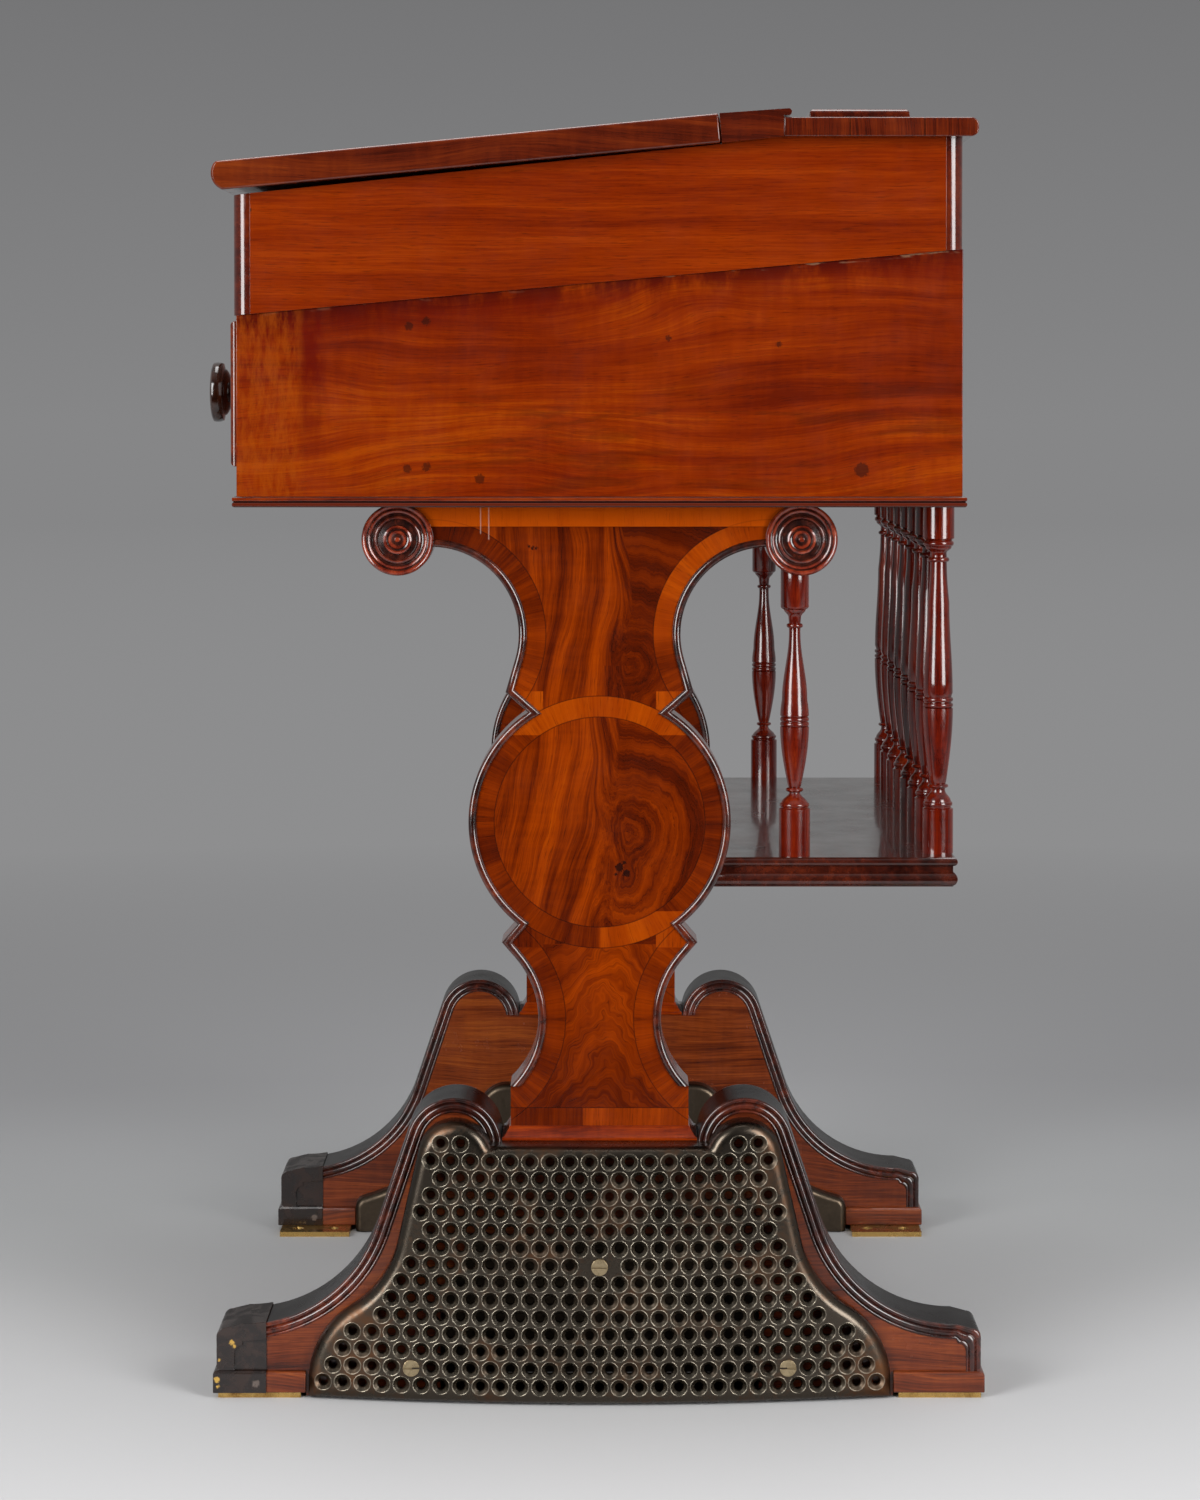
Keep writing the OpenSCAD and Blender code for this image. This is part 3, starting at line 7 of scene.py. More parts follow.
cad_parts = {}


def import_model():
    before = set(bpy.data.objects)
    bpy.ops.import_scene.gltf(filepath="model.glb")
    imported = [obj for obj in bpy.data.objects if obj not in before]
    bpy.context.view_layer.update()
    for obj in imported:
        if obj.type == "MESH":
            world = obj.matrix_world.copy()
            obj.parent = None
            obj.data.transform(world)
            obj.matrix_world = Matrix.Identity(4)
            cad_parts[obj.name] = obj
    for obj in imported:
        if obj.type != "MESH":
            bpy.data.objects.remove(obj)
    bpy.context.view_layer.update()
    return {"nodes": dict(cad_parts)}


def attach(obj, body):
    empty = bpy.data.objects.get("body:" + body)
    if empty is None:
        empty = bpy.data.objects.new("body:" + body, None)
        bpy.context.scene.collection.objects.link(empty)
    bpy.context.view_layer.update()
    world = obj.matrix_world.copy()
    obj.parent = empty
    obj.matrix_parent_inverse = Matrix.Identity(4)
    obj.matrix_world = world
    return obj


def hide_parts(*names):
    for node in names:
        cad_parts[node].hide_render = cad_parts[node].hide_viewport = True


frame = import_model()
mm = 0.001


# Camera
# The right-hand end of the desk is seen square on from three metres, a little under the lid's height.

def linked(name, data):
    """A new object in the scene"""
    thing = bpy.data.objects.new(name, data)
    bpy.context.scene.collection.objects.link(thing)
    return thing


camera_data = bpy.data.cameras.new("camera")
camera_data.sensor_fit = "VERTICAL"
camera_data.sensor_height = 36
camera_data.lens = 92.9
camera_data.shift_x = -0.004
camera_data.shift_y = -0.1587
camera_tilt = 90 - 1.886
camera = linked("camera", camera_data)
camera.location = (3.0, 0.0045, 0.712)
camera.rotation_euler = (radians(camera_tilt), 0, radians(90))
bpy.context.scene.camera = camera
bpy.context.scene.view_settings.view_transform = "Standard"


# Floor and lights
# A pale studio floor, two tall soft lights at the camera's sides and one over the desk. The floor's colour
# is painted lighter round a spot by the desk and darker further off, a painted pool of light, and far off
# the floor glows with painted light to meet the backdrop. The room and the floor on the camera's side are
# dark, so that the polish shows its own colour.

class Value:
    """What a node gives out. Numbers take the usual signs of arithmetic"""

    def __init__(self, socket):
        self.socket = socket

    def __add__(self, other):
        return calc("ADD", self, other)

    def __sub__(self, other):
        return calc("SUBTRACT", self, other)

    def __mul__(self, other):
        return calc("MULTIPLY", self, other)

    def __abs__(self):
        return calc("ABSOLUTE", self)


def feed(node, inputs):
    """Gives the node its inputs, each a constant or what another node gives out"""
    for key, value in dict(inputs).items():
        if isinstance(value, Value):
            node.id_data.links.new(value.socket, node.inputs[key])
        else:
            node.inputs[key].default_value = value


def add(tree, kind, inputs=(), **settings):
    """A new node with its settings and inputs"""
    node = tree.nodes.new(kind)
    for name, value in settings.items():
        setattr(node, name, value)
    feed(node, inputs)
    return node


def source(tree, kind, out=0, inputs=(), **settings):
    """What a new node in this tree gives out"""
    return Value(add(tree, kind, inputs, **settings).outputs[out])


def made(kind, inputs, out=0, **settings):
    """What a new node makes of its inputs, in the tree that they come from"""
    tree = next(value.socket.id_data for value in inputs.values() if isinstance(value, Value))
    return source(tree, kind, out, inputs, **settings)


def calc(operation, *values):
    return made("ShaderNodeMath", dict(enumerate(values)), operation=operation)


def spread(value, low, high, to=(0, 1)):
    """The value stretched so that low and high become the two ends of to"""
    return made("ShaderNodeMapRange", {"Value": value, "From Min": low, "From Max": high, "To Min": to[0],
                                       "To Max": to[1]})


def parts_of(value):
    """X, Y and Z of a place or a direction"""
    return [Value(out) for out in add(value.socket.id_data, "ShaderNodeSeparateXYZ", {0: value}).outputs]


def place_of(tree):
    return source(tree, "ShaderNodeTexCoord", "Object")


def coordinates(tree, order):
    """The object's place as separate values, in the order of the letters"""
    parts = parts_of(place_of(tree))
    return [parts["xyz".index(letter)] for letter in order]


def tone(code):
    """Linear colour from a web colour"""
    parts = [int(code[i:i + 2], 16) / 255 for i in (1, 3, 5)]
    return (*(c / 12.92 if c < 0.04045 else ((c + 0.055) / 1.055) ** 2.4 for c in parts), 1)


def ramp(value, stops, paint=tone):
    """Colour that runs through the stops, each a place and a colour"""
    node = add(value.socket.id_data, "ShaderNodeValToRGB", {"Fac": value})
    elements = node.color_ramp.elements
    while len(elements) < len(stops):
        elements.new(0.5)
    for element, (place, code) in zip(elements, stops):
        element.position = place
        element.color = paint(code)
    return Value(node.outputs[0])


def shades(value, *codes):
    """Colour that runs evenly through the codes"""
    return ramp(value, [(i / (len(codes) - 1), code) for i, code in enumerate(codes)])


def new_finish(name):
    material = bpy.data.materials.new(name)
    material.use_nodes = True
    return material, material.node_tree, material.node_tree.nodes["Principled BSDF"]


floor_half = 30
floor_corners = [(a * floor_half, b * floor_half, 0) for a, b in ((-1, -1), (1, -1), (1, 1), (-1, 1))]
floor_mesh = bpy.data.meshes.new("floor")
floor_mesh.from_pydata(floor_corners, [], [(0, 1, 2, 3)])
floor = linked("floor", floor_mesh)
floor_paint, tree, shader = new_finish("studio floor")
# The floor is painted lighter round this centre and darker further off: a painted pool of light
painted_light_centre = (1.0, 0.12, 0)
near_reach, glow_reach, far_reach, cloth_reach = (0.4, 2.0), (1.7, 4), (4, 18), (0.72, 1.1)
from_spot = made("ShaderNodeVectorMath", {0: place_of(tree), 1: painted_light_centre}, "Value", operation="DISTANCE")
painted_light_pool = ramp(spread(from_spot, *near_reach), [(0, "#bababb"), (0.3, "#b0b0b1"), (0.42, "#a8a8a9"),
                                                  (0.65, "#999a9b"), (1, "#8e8e90")])
feed(shader, {"Base Color": painted_light_pool, "Roughness": 0.7, "Specular IOR Level": 0.2})
# Far off, the floor glows: painted light that meets the backdrop
far_glow = made("ShaderNodeEmission", {"Color": shades(spread(from_spot, *far_reach), "#8e8e8f", "#868687")})
paint = made("ShaderNodeMixShader", {0: spread(from_spot, *glow_reach), 1: Value(shader.outputs[0]),
                                     2: far_glow})
dark_cloth = source(tree, "ShaderNodeBsdfDiffuse", 0, {"Color": tone("#101010")})
across_room = coordinates(tree, "x")[0]
cover = made("ShaderNodeMixShader", {0: spread(across_room, *cloth_reach), 1: paint, 2: dark_cloth})
feed(tree.nodes["Material Output"], {"Surface": cover})
floor_mesh.materials.append(floor_paint)

world = bpy.data.worlds.new("studio")
world.use_nodes = True
bpy.context.scene.world = world
tree = world.node_tree
heading = parts_of(source(tree, "ShaderNodeTexCoord", "Generated"))
backdrop = shades(spread(heading[2], -0.01, 0.1), "#868687", "#7e7e7f", "#757576")
feed(tree.nodes["Background"], {"Color": backdrop})
glow = spread(heading[0], 0.3, 0.85, (1, 0.1)) * spread(heading[2], -0.2, 1, (0.2, 0.5))
room = made("ShaderNodeBackground", {"Color": (1, 1, 1, 1), "Strength": glow})
seen = source(tree, "ShaderNodeLightPath", "Is Camera Ray")
both = made("ShaderNodeMixShader", {0: seen, 1: room, 2: Value(tree.nodes["Background"].outputs[0])})
feed(tree.nodes["World Output"], {"Surface": both})


def soft_light(name, place, aim, width, height, power):
    """A rectangular soft light that faces its aim"""
    data = bpy.data.lights.new(name, "AREA")
    data.shape = "RECTANGLE"
    data.size = width
    data.size_y = height
    data.energy = power
    light = linked(name, data)
    light.location = place
    light.rotation_euler = (Vector(aim) - Vector(place)).to_track_quat("-Z", "Y").to_euler()


soft_light("left light", (2.1, -1.75, 1.2), (0.2, 0, 0.7), 1.1, 2.0, 88)
soft_light("right light", (2.1, 1.75, 1.2), (0.2, 0, 0.7), 1.1, 2.0, 88)
soft_light("top light", (-0.2, 0, 3.0), (0, 0, 0), 1.4, 1.4, 38)


# Floor plates
# Four brass plates under the toes. Each reaches inwards past the foot, with two countersunk holes for the
# screws that hold it to the floor.

def blend(share, base, other):
    """Colour that goes from base to other"""
    return made("ShaderNodeMix", {0: share, 6: base, 7: other}, 2, data_type="RGBA")


def bump_of(height, strength, depth):
    return made("ShaderNodeBump", {"Height": height, "Strength": strength, "Distance": depth})


def metal(name, colour, stain, seed, roughness=(0.25, 0.45), scale=40, stain_at=(0.45, 0.7)):
    """Handled metal: stained by noise, and duller where it is stained"""
    material, tree, shader = new_finish(name)
    where = made("ShaderNodeVectorMath", {0: place_of(tree), 1: (seed, seed, seed)})
    cloud = made("ShaderNodeTexNoise", {"Vector": where, "Scale": scale, "Detail": 6, "Roughness": 0.62,
                                        "Distortion": 0.6})
    fine = made("ShaderNodeTexNoise", {"Vector": where, "Scale": scale * 14, "Detail": 3})
    dirt = spread(fine * 0.25 + cloud, stain_at[0] + 0.1, stain_at[1] + 0.1)
    base = blend(dirt, tone(colour), tone(stain))
    feed(shader, {"Base Color": base, "Roughness": spread(dirt, 0, 1, roughness), "Metallic": 1,
                  "Normal": bump_of(fine, 0.12, 0.0004)})
    return material, tree, shader, base


def keep(node, material):
    """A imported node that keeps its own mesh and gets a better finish"""
    for slot in frame["nodes"][node].material_slots:
        slot.material = material


brass = metal("worn brass", "#dcb56c", "#876233", seed=3.1, roughness=(0.22, 0.5), scale=60)[0]
keep("floor_plates", brass)


# Floor blocks and toe guards
# Mahogany blocks under the ends of the feet, wider than the foot, with a bevelled top edge.
# The two at the front are wrapped with a dark sheet that is held by small nails.

def vector(x, y, z=0.0):
    return made("ShaderNodeCombineXYZ", {0: x, 1: y, 2: z})


def noise(line, stretch, detail=3, roughness=0.55, distortion=0.0):
    scaled = made("ShaderNodeVectorMath", {0: line, 1: stretch}, operation="MULTIPLY")
    return made("ShaderNodeTexNoise", {"Vector": scaled, "Scale": 1, "Detail": detail,
                                       "Roughness": roughness, "Distortion": distortion})


wood_depth = 0.47
weld, flat_enough, crease = 0.01 * mm, radians(0.4), radians(35)


def dyed(code):
    """Wood of this colour in the picture, as the colour that it has without the light"""
    return (*(c * wood_depth for c in tone(code)[:3]), 1)


def figure(along, across, through, seed=0.0, cloud=0.3, stripe=0.4, fine=0.2, ripple=0.1, sway=1.0,
           width=1.0):
    """Light and dark of mahogany, 0 to 1, and its pores; the fibres run along the first coordinate"""
    deep = through + seed
    bend = noise(vector(along, across, deep), (4, 9, 9), 2) * (0.05 * sway) + across
    bent = vector(along, bend, deep)
    stripe_scale = 120 / width
    mixture = 0.0
    for share, stretch, detail in ((cloud, (5, 14, 14), 3), (stripe, (3.5, stripe_scale, stripe_scale), 4),
                                   (fine, (22, 900, 900), 3), (ripple, (150, 28, 28), 2)):
        mixture = spread(noise(bent, stretch, detail, 0.6), 0.34, 0.66) * share + mixture
    return mixture, spread(noise(bent, (90, 2200, 2200), 1), 0.6, 0.72)


def stained_wood(mixture, pores, tones):
    """Colour and relief from a figure and the tones that it runs through"""
    stops = [(0.15 + 0.7 * i / (len(tones) - 1), code) for i, code in enumerate(tones)]
    colour = blend(pores * 0.45, ramp(mixture, stops, dyed), tone("#120402"))
    return colour, mixture * 0.3 - pores * 0.6


def grain(along, across, through, tones, **shares):
    return stained_wood(*figure(along, across, through, **shares), tones)


def polish(shader, colour, relief, shine=0.45, roughness=(0.14, 0.24), bump=0.2):
    """French polish: a thin clear coat over the wood, a little uneven from the rubber and from wear"""
    where = place_of(shader.id_data)
    rub = spread(noise(where, (28, 28, 28), 4, 0.6), 0.3, 0.7)
    wave = noise(where, (55, 55, 55), 2)
    feed(shader, {"Base Color": colour, "Roughness": spread(rub, 0, 1, roughness), "Coat Weight": shine,
                  "Coat Roughness": 0.05, "Specular IOR Level": 0.35,
                  "Normal": bump_of(wave * 1.6 + relief, bump, 0.00012),
                  "Coat Normal": bump_of(wave, 0.1, 0.0006)})


def reach_from(centre, y, z):
    """Distance from a centre that is given in mm"""
    off_y, off_z = y - centre[0] * mm, z - centre[1] * mm
    return calc("SQRT", off_y * off_y + off_z * off_z)


def stains(colour, spots, stain="#140604", strength=0.85):
    """Small dark marks on a face across X, each as distance from the middle, height and radius in mm"""
    tree = colour.socket.id_data
    y, z = coordinates(tree, "yz")
    ragged = noise(place_of(tree), (700, 700, 700), 2) * 0.004
    for *centre, radius in spots:
        inside = spread(reach_from(centre, y, z) + ragged, radius * mm + 0.0024, radius * mm + 0.0014)
        colour = blend(inside * strength, colour, tone(stain))
    return colour


def board_finish(name, order, tones, spots=(), shine=0.4, roughness=(0.14, 0.24), **shares):
    material, tree, shader = new_finish(name)
    colour, relief = grain(*coordinates(tree, order), tones, **shares)
    polish(shader, stains(colour, spots), relief, shine, roughness)
    return material


def sideways(tree):
    """1 on faces that look up, down or to the front and rear, 0 on the two broad faces across X"""
    facing = parts_of(source(tree, "ShaderNodeNewGeometry", "Normal"))[0]
    return spread(abs(facing), 0.8, 0.6)


def placed(name, mesh, body, slot, material, *nodes):
    """A finished piece that rides on its body and stands for the nodes"""
    piece = linked(name, mesh)
    mesh.materials.clear()
    mesh.materials.append(material)
    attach(piece, body)
    if nodes:
        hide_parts(*nodes)


def settled(mesh, *modifiers):
    """The mesh with its modifiers applied; each is its type, its settings and its tree's inputs by name"""
    holder = linked("holder", mesh)
    for kind, settings, inputs in modifiers:
        modifier = holder.modifiers.new(kind.lower(), kind)
        for key, value in settings.items():
            setattr(modifier, key, value)
        for label, value in inputs.items():
            sockets = [item for item in modifier.node_group.interface.items_tree if item.name == label]
            modifier[sockets[0].identifier] = value
    bpy.context.view_layer.update()
    evaluated = holder.evaluated_get(bpy.context.evaluated_depsgraph_get())
    result = bpy.data.meshes.new_from_object(evaluated)
    bpy.data.objects.remove(holder)
    return result


def eased(name, node, arris, body, slot, material):
    """A node's mesh as a finished piece: copied, welded, and its sharp edges rounded by arris in mm"""
    mesh = frame["nodes"][node].data.copy()
    bm = bmesh.new()
    bm.from_mesh(mesh)
    bmesh.ops.remove_doubles(bm, verts=bm.verts, dist=weld)
    bmesh.ops.dissolve_limit(bm, angle_limit=flat_enough, verts=bm.verts, edges=bm.edges)
    bm.to_mesh(mesh)
    bm.free()
    mesh.shade_smooth()
    mesh.set_sharp_from_angle(angle=crease)
    rounding = {"width": arris * mm, "segments": 2, "limit_method": "ANGLE", "angle_limit": crease,
                "harden_normals": True, "use_clamp_overlap": True}
    mesh = settled(mesh, ("BEVEL", rounding, {}), ("WEIGHTED_NORMAL", {"keep_sharp": True}, {}))
    placed(name, mesh, body, slot, material, node)


foot_tones = ["#46190a", "#6e2c10", "#8e3f18", "#a8541e"]
block_wood = board_finish("floor block wood", "yzx", foot_tones, seed=4, fine=0.35, cloud=0.2, ripple=0.05,
                          shine=0.2, roughness=(0.3, 0.5))
eased("floor_blocks", "toe_blocks", 0.7, "desk", "mahogany", block_wood)

guard_sheet, tree, shader, paint = metal("painted sheet", "#2a1d18", "#150d0b", seed=7.7,
                                         roughness=(0.16, 0.34), scale=70, stain_at=(0.4, 0.6))
gold_chips = [(-258.4, 39.5, 1.6), (-256.8, 36.6, 1), (-267.3, 27, 0.8), (-268.6, 13.5, 2.2),
              (-267.9, 8.6, 1.1)]
nails = [(-241.3, 10.7, 2.6)]
at_right = spread(coordinates(tree, "x")[0], 0, 0.001)
chipped = blend(at_right, paint, stains(paint, gold_chips, "#b9923f"))
edge = sideways(tree)
feed(shader, {"Base Color": stains(chipped, nails, "#5a4e48"), "Metallic": 0.2, "Coat Roughness": 0.08,
              "Coat Weight": spread(edge, 0, 1, (0.6, 0)),
              "Specular IOR Level": spread(edge, 0, 1, (0.5, 0.05))})
eased("front_toe_guards", "toe_guards", 0.3, "desk", "dark_sheet", guard_sheet)


# Feet
# Each foot is one thick mahogany board, sawn with a hump at each side of the upright and a long sweep to
# each toe. A double bead is scratched along its edge on both faces, and air passes through it low down.

sides = ((1, "right"), (-1, "left"))
foot_in_x, foot_face_x = 243, 300
bead_h = 2
foot_half, block_in, block_top, foot_low = 268.2, 206.5, 18.5, 1
seat_z = 181.3
hump, hump_r = (102.3, 178), 33.5
sweep_low, toe_drop, toe_r = 51.5, 3, 6
sweep, sweep_r = (251, 150), 98.5
duct_half, duct_border = 112, 10


def arc(centre, r, start, end, count):
    """Points on a circle from one angle to another, in degrees"""
    angles = [radians(start + (end - start) * i / count) for i in range(count + 1)]
    return [(centre[0] + r * cos(a), centre[1] + r * sin(a)) for a in angles]


def circle(centre, r, steps):
    return arc(centre, r, 0, 360, steps)[:-1]


def crossing_tangent(c1, r1, c2, r2):
    """Angle, in degrees, at which a straight line leaves the first circle to touch the second"""
    dy, dz = c2[0] - c1[0], c2[1] - c1[1]
    return degrees(atan2(dz, dy) + acos((r1 + r2) / hypot(dy, dz)))


def heading_of(start, end):
    """Angle, in degrees from 0 to 360, in which the end lies"""
    return degrees(atan2(end[1] - start[1], end[0] - start[0])) % 360


def foot_edge(w):
    """Top edge of half a foot, inset by w, from the seat to the floor block"""
    leave = crossing_tangent(hump, hump_r - w, sweep, sweep_r + w)
    start = 180 - degrees(asin((seat_z - hump[1]) / (hump_r - w)))
    toe = (foot_half - w - toe_r, sweep_low - toe_drop - w - toe_r)
    return (arc(hump, hump_r - w, start, leave, 26) + arc(sweep, sweep_r + w, leave + 180, 270, 22)
            + arc(toe, toe_r, 90, 0, 8) + [(foot_half - w, block_top)])


def both_sides(half):
    return [(-y, z) for y, z in reversed(half)] + half


def row_at(bm, x, points):
    """Vertices at X for points of Y and Z, all in mm"""
    return [bm.verts.new((x * mm, y * mm, z * mm)) for y, z in points]


def bridge(bm, rings, closed):
    """Quads between neighbouring rows of vertices"""
    for low, high in zip(rings, rings[1:]):
        for i in range(0 if closed else 1, len(low)):
            bm.faces.new((low[i - 1], low[i], high[i], high[i - 1]))


def cap(bm, *rings):
    """Flat faces that fill the first ring and leave the others open"""
    flat = [[v.co for v in ring] for ring in rings]
    loose = [v for ring in rings for v in ring]
    for triangle in geometry.tessellate_polygon(flat):
        bm.faces.new([loose[i] for i in triangle])


def smooth_mesh(name, bm):
    mesh = bpy.data.meshes.new(name)
    bm.to_mesh(mesh)
    bm.free()
    mesh.shade_smooth()
    return mesh


def finished_mesh(name, bm, sharp_over=crease):
    """A smooth mesh with its faces outwards, and sharp where it turns by more than an angle"""
    bmesh.ops.remove_doubles(bm, verts=bm.verts, dist=weld / 5)
    bmesh.ops.recalc_face_normals(bm, faces=bm.faces)
    mesh = smooth_mesh(name, bm)
    mesh.set_sharp_from_angle(angle=sharp_over)
    return mesh


def to_side(mesh, side):
    """The same mesh on the other side of the desk where side is -1"""
    if side < 0:
        mesh.transform(Matrix.Scale(-1, 4, (1, 0, 0)))
        mesh.flip_normals()
    return mesh


def sawn(name, span, side, *loops):
    """A board across X over the span; the first loop is its outline, the others are straight holes"""
    bm = bmesh.new()
    ends = [[row_at(bm, x, loop) for x in span] for loop in loops]
    for pair in ends:
        bridge(bm, pair, True)
    for end in (0, 1):
        cap(bm, *[pair[end] for pair in ends])
    return to_side(finished_mesh(name, bm), side)


# Outline of the bell-shaped casting that covers the air duct on the inner face of the foot
cover_half, cover_top, cover_shoulder_r, cover_crown_r = 206, 125, 9, 25
cover_hollow, cover_hollow_r = (241, 180), 156.5
cover_crown = (78, cover_top - cover_crown_r)
shoulder_y = cover_half - cover_shoulder_r
shoulder_dz = sqrt((cover_hollow_r + cover_shoulder_r) ** 2 - (cover_hollow[0] - shoulder_y) ** 2)
cover_shoulder = (shoulder_y, cover_hollow[1] - shoulder_dz)


def cover_edge(w):
    """Half of the cover's edge, inset by w, from the top to the floor"""
    leave = crossing_tangent(cover_crown, cover_crown_r - w, cover_hollow, cover_hollow_r + w)
    meet = heading_of(cover_hollow, cover_shoulder)
    r = max(cover_shoulder_r - w, 0.3)
    return ([(0, cover_top - w)] + arc(cover_crown, cover_crown_r - w, 90, leave, 10)
            + arc(cover_hollow, cover_hollow_r + w, leave + 180, meet, 16)
            + arc(cover_shoulder, r, meet - 180, 0, 8) + [(cover_half - w, foot_low)])


def duct_hole():
    """The air duct as a closed loop, cut off upright at its two sides"""
    half = [p for p in cover_edge(duct_border)[1:] if p[0] < duct_half - 1]
    reach = cover_hollow_r + duct_border
    shoulder = cover_hollow[1] - sqrt(reach ** 2 - (cover_hollow[0] - duct_half) ** 2)
    return both_sides(half + [(duct_half, shoulder), (duct_half, 2 * foot_low)])


def foot_finish():
    """Plain mahogany on the faces; the sawn edge is painted near-black, a painted shade"""
    material, tree, shader = new_finish("foot wood")
    colour, relief = grain(*coordinates(tree, "yzx"), foot_tones, seed=1, cloud=0.35, stripe=0.3, fine=0.3,
                           ripple=0.05)
    edge = sideways(tree)
    # The sawn edge painted near-black: painted shade, with little shine
    polish(shader, blend(edge, colour, tone("#0c0504")), relief, shine=0.0, roughness=(0.18, 0.3))
    feed(shader, {"Specular IOR Level": spread(edge, 0, 1, (0.35, 0.06)),
                  "Coat Weight": spread(edge, 0, 1, (0.2, 0))})
    return material


foot_outline = both_sides(foot_edge(0) + [(block_in, block_top), (block_in, foot_low)])
foot_wood = foot_finish()
for side, word in sides:
    core = sawn("foot core", (foot_in_x + bead_h, foot_face_x - bead_h), side, foot_outline, duct_hole())
    placed(f"foot_{word}_board", core, "desk", "mahogany", foot_wood, f"foot_{word}")

# The bead's section as inset from the edge and height over the face
foot_bead_section = [(0, -0.2), (0, 0.4), (0.3, 1.3), (1.1, 1.9), (2.0, 2.0), (2.8, 1.6), (3.4, 0.7),
                     (3.8, 0.5), (4.3, 1.0), (5.0, 1.75), (6.2, 2.0), (7.3, 1.7), (8.1, 0.9), (8.5, 0.3),
                     (8.9, 0.7), (9.5, 1.0), (10.1, 0.8), (10.5, 0.1), (10.5, -0.2)]


def joined(name, meshes):
    """Several meshes as one"""
    bm = bmesh.new()
    for mesh in meshes:
        bm.from_mesh(mesh)
    return smooth_mesh(name, bm)


def edge_beads(name, edge, section, in_x, out_x, side):
    """Beads along both halves of a board's edge, on its inner and its outer face"""
    meshes = []
    for ground, outwards in ((out_x, 1), (in_x, -1)):
        bm = bmesh.new()
        for mirror in (1, -1):
            rows = [row_at(bm, ground + outwards * h, [(mirror * y, z) for y, z in edge(w)])
                    for w, h in section]
            bridge(bm, rows, False)
            bridge(bm, [rows[-1], rows[0]], False)
            for end in (0, -1):
                bm.faces.new([row[end] for row in rows])
        meshes.append(to_side(finished_mesh("bead", bm, radians(50)), side))
    return joined(name, meshes)


def bead_finish(name, seed):
    """Bead with dark old polish, rubbed through to red-brown here and there"""
    material, tree, shader = new_finish(name)
    where = made("ShaderNodeVectorMath", {0: place_of(tree), 1: (seed, 0, 0)})
    rubbed = spread(noise(where, (9, 9, 9), 5, 0.65, 0.5), 0.46, 0.66)
    flecks = spread(noise(where, (300, 160, 160), 3), 0.3, 0.7)
    dark = shades(flecks, "#120605", "#230c08", "#3c150c")
    red = shades(flecks, "#2c0f0a", "#552012", "#6e2f18")
    lumps = noise(where, (190, 190, 190), 3, 0.6)
    polish(shader, blend(rubbed, dark, red), lumps, shine=0.6, roughness=(0.15, 0.35), bump=0.4)
    return material


foot_bead_finish = bead_finish("foot bead polish", 0)
for side, word in sides:
    beads = edge_beads("foot edge", foot_edge, foot_bead_section, foot_in_x + bead_h, foot_face_x - bead_h,
                       side)
    placed(f"foot_{word}_edge", beads, "desk", "dark_mahogany", foot_bead_finish, f"foot_bead_{word}")


# Duct covers
# A thin bronze casting over the duct on the inner face of each foot, with a rounded edge, open at the floor.

cover_out, cover_wall, cover_round = 15, 3, 5
face_x = foot_in_x + bead_h
round_x = face_x - cover_out + cover_round
bronze = metal("dark cast bronze", "#54493d", "#2c2620", seed=1.3, roughness=(0.28, 0.5), scale=22,
               stain_at=(0.35, 0.7))[0]

# The shell's section as inset and X: over the rounded edge, and back along the inside
cover_outside = [(0, face_x)] + arc((cover_round, round_x), cover_round, 180, 270, 6)
cover_inside = [(cover_round, face_x - cover_out + cover_wall), (cover_wall, round_x), (cover_wall, face_x)]
for side, word in sides:
    bm = bmesh.new()
    rings = [row_at(bm, x, both_sides(cover_edge(w)[1:])) for w, x in cover_outside + cover_inside]
    outer, inner = rings[:len(cover_outside)], rings[len(cover_outside):]
    for rows in (outer, inner, [inner[-1], outer[0]]):
        bridge(bm, rows, False)
    cap(bm, outer[-1])
    cap(bm, inner[0])
    for end in (0, -1):
        bm.faces.new([ring[end] for ring in rings])
    placed(f"duct_cover_{word}_casting", to_side(finished_mesh("duct cover", bm), side), "desk", "bronze",
           bronze, f"duct_cover_{word}")


# Grilles
# A bulged bronze casting on the outer face of each foot. Its edge rolls over to meet the wood, and it is
# pierced by staggered rows of funnels, each with a raised rim. Three slotted screws hold it.

field_x = foot_face_x - bead_h
grille_half, grille_low, grille_roll = 204.6, 1, 8
g_hump, g_hump_r = (101, 171.5), 26.4
g_hollow, g_hollow_r = (213, 128), 73.2
g_corner_z = 12
corner_dz, corner_dy = g_hollow[1] - g_corner_z, g_hollow[0] - grille_half
g_corner_r = (corner_dz ** 2 + corner_dy ** 2 - g_hollow_r ** 2) / (2 * (g_hollow_r - corner_dy))
g_corner = (grille_half - g_corner_r, g_corner_z)
grille_out, grille_end_out = 29, 8.5
grille_sag = grille_out - grille_end_out
bulge_r = (grille_half ** 2 + grille_sag ** 2) / (2 * grille_sag)
bulge_axis = field_x + grille_out - bulge_r
hole_pitch, row_pitch, row_low = 13.85, 12.15, 13.5
rim_r, hole_steps = 6.35, 14
hole_rim, hump_rim, screw_clear = 7.4, 10.3, 8
screw_off, screw_row, holes_each_way = 9.5, 7, 15
screws_at = [(-screw_off * hole_pitch, row_low + row_pitch), (screw_off * hole_pitch, row_low + row_pitch),
             (0, row_low + screw_row * row_pitch)]
floor_steps, seat_steps, arc_steps, flank_steps, corner_steps = 40, 20, 30, 24, 16


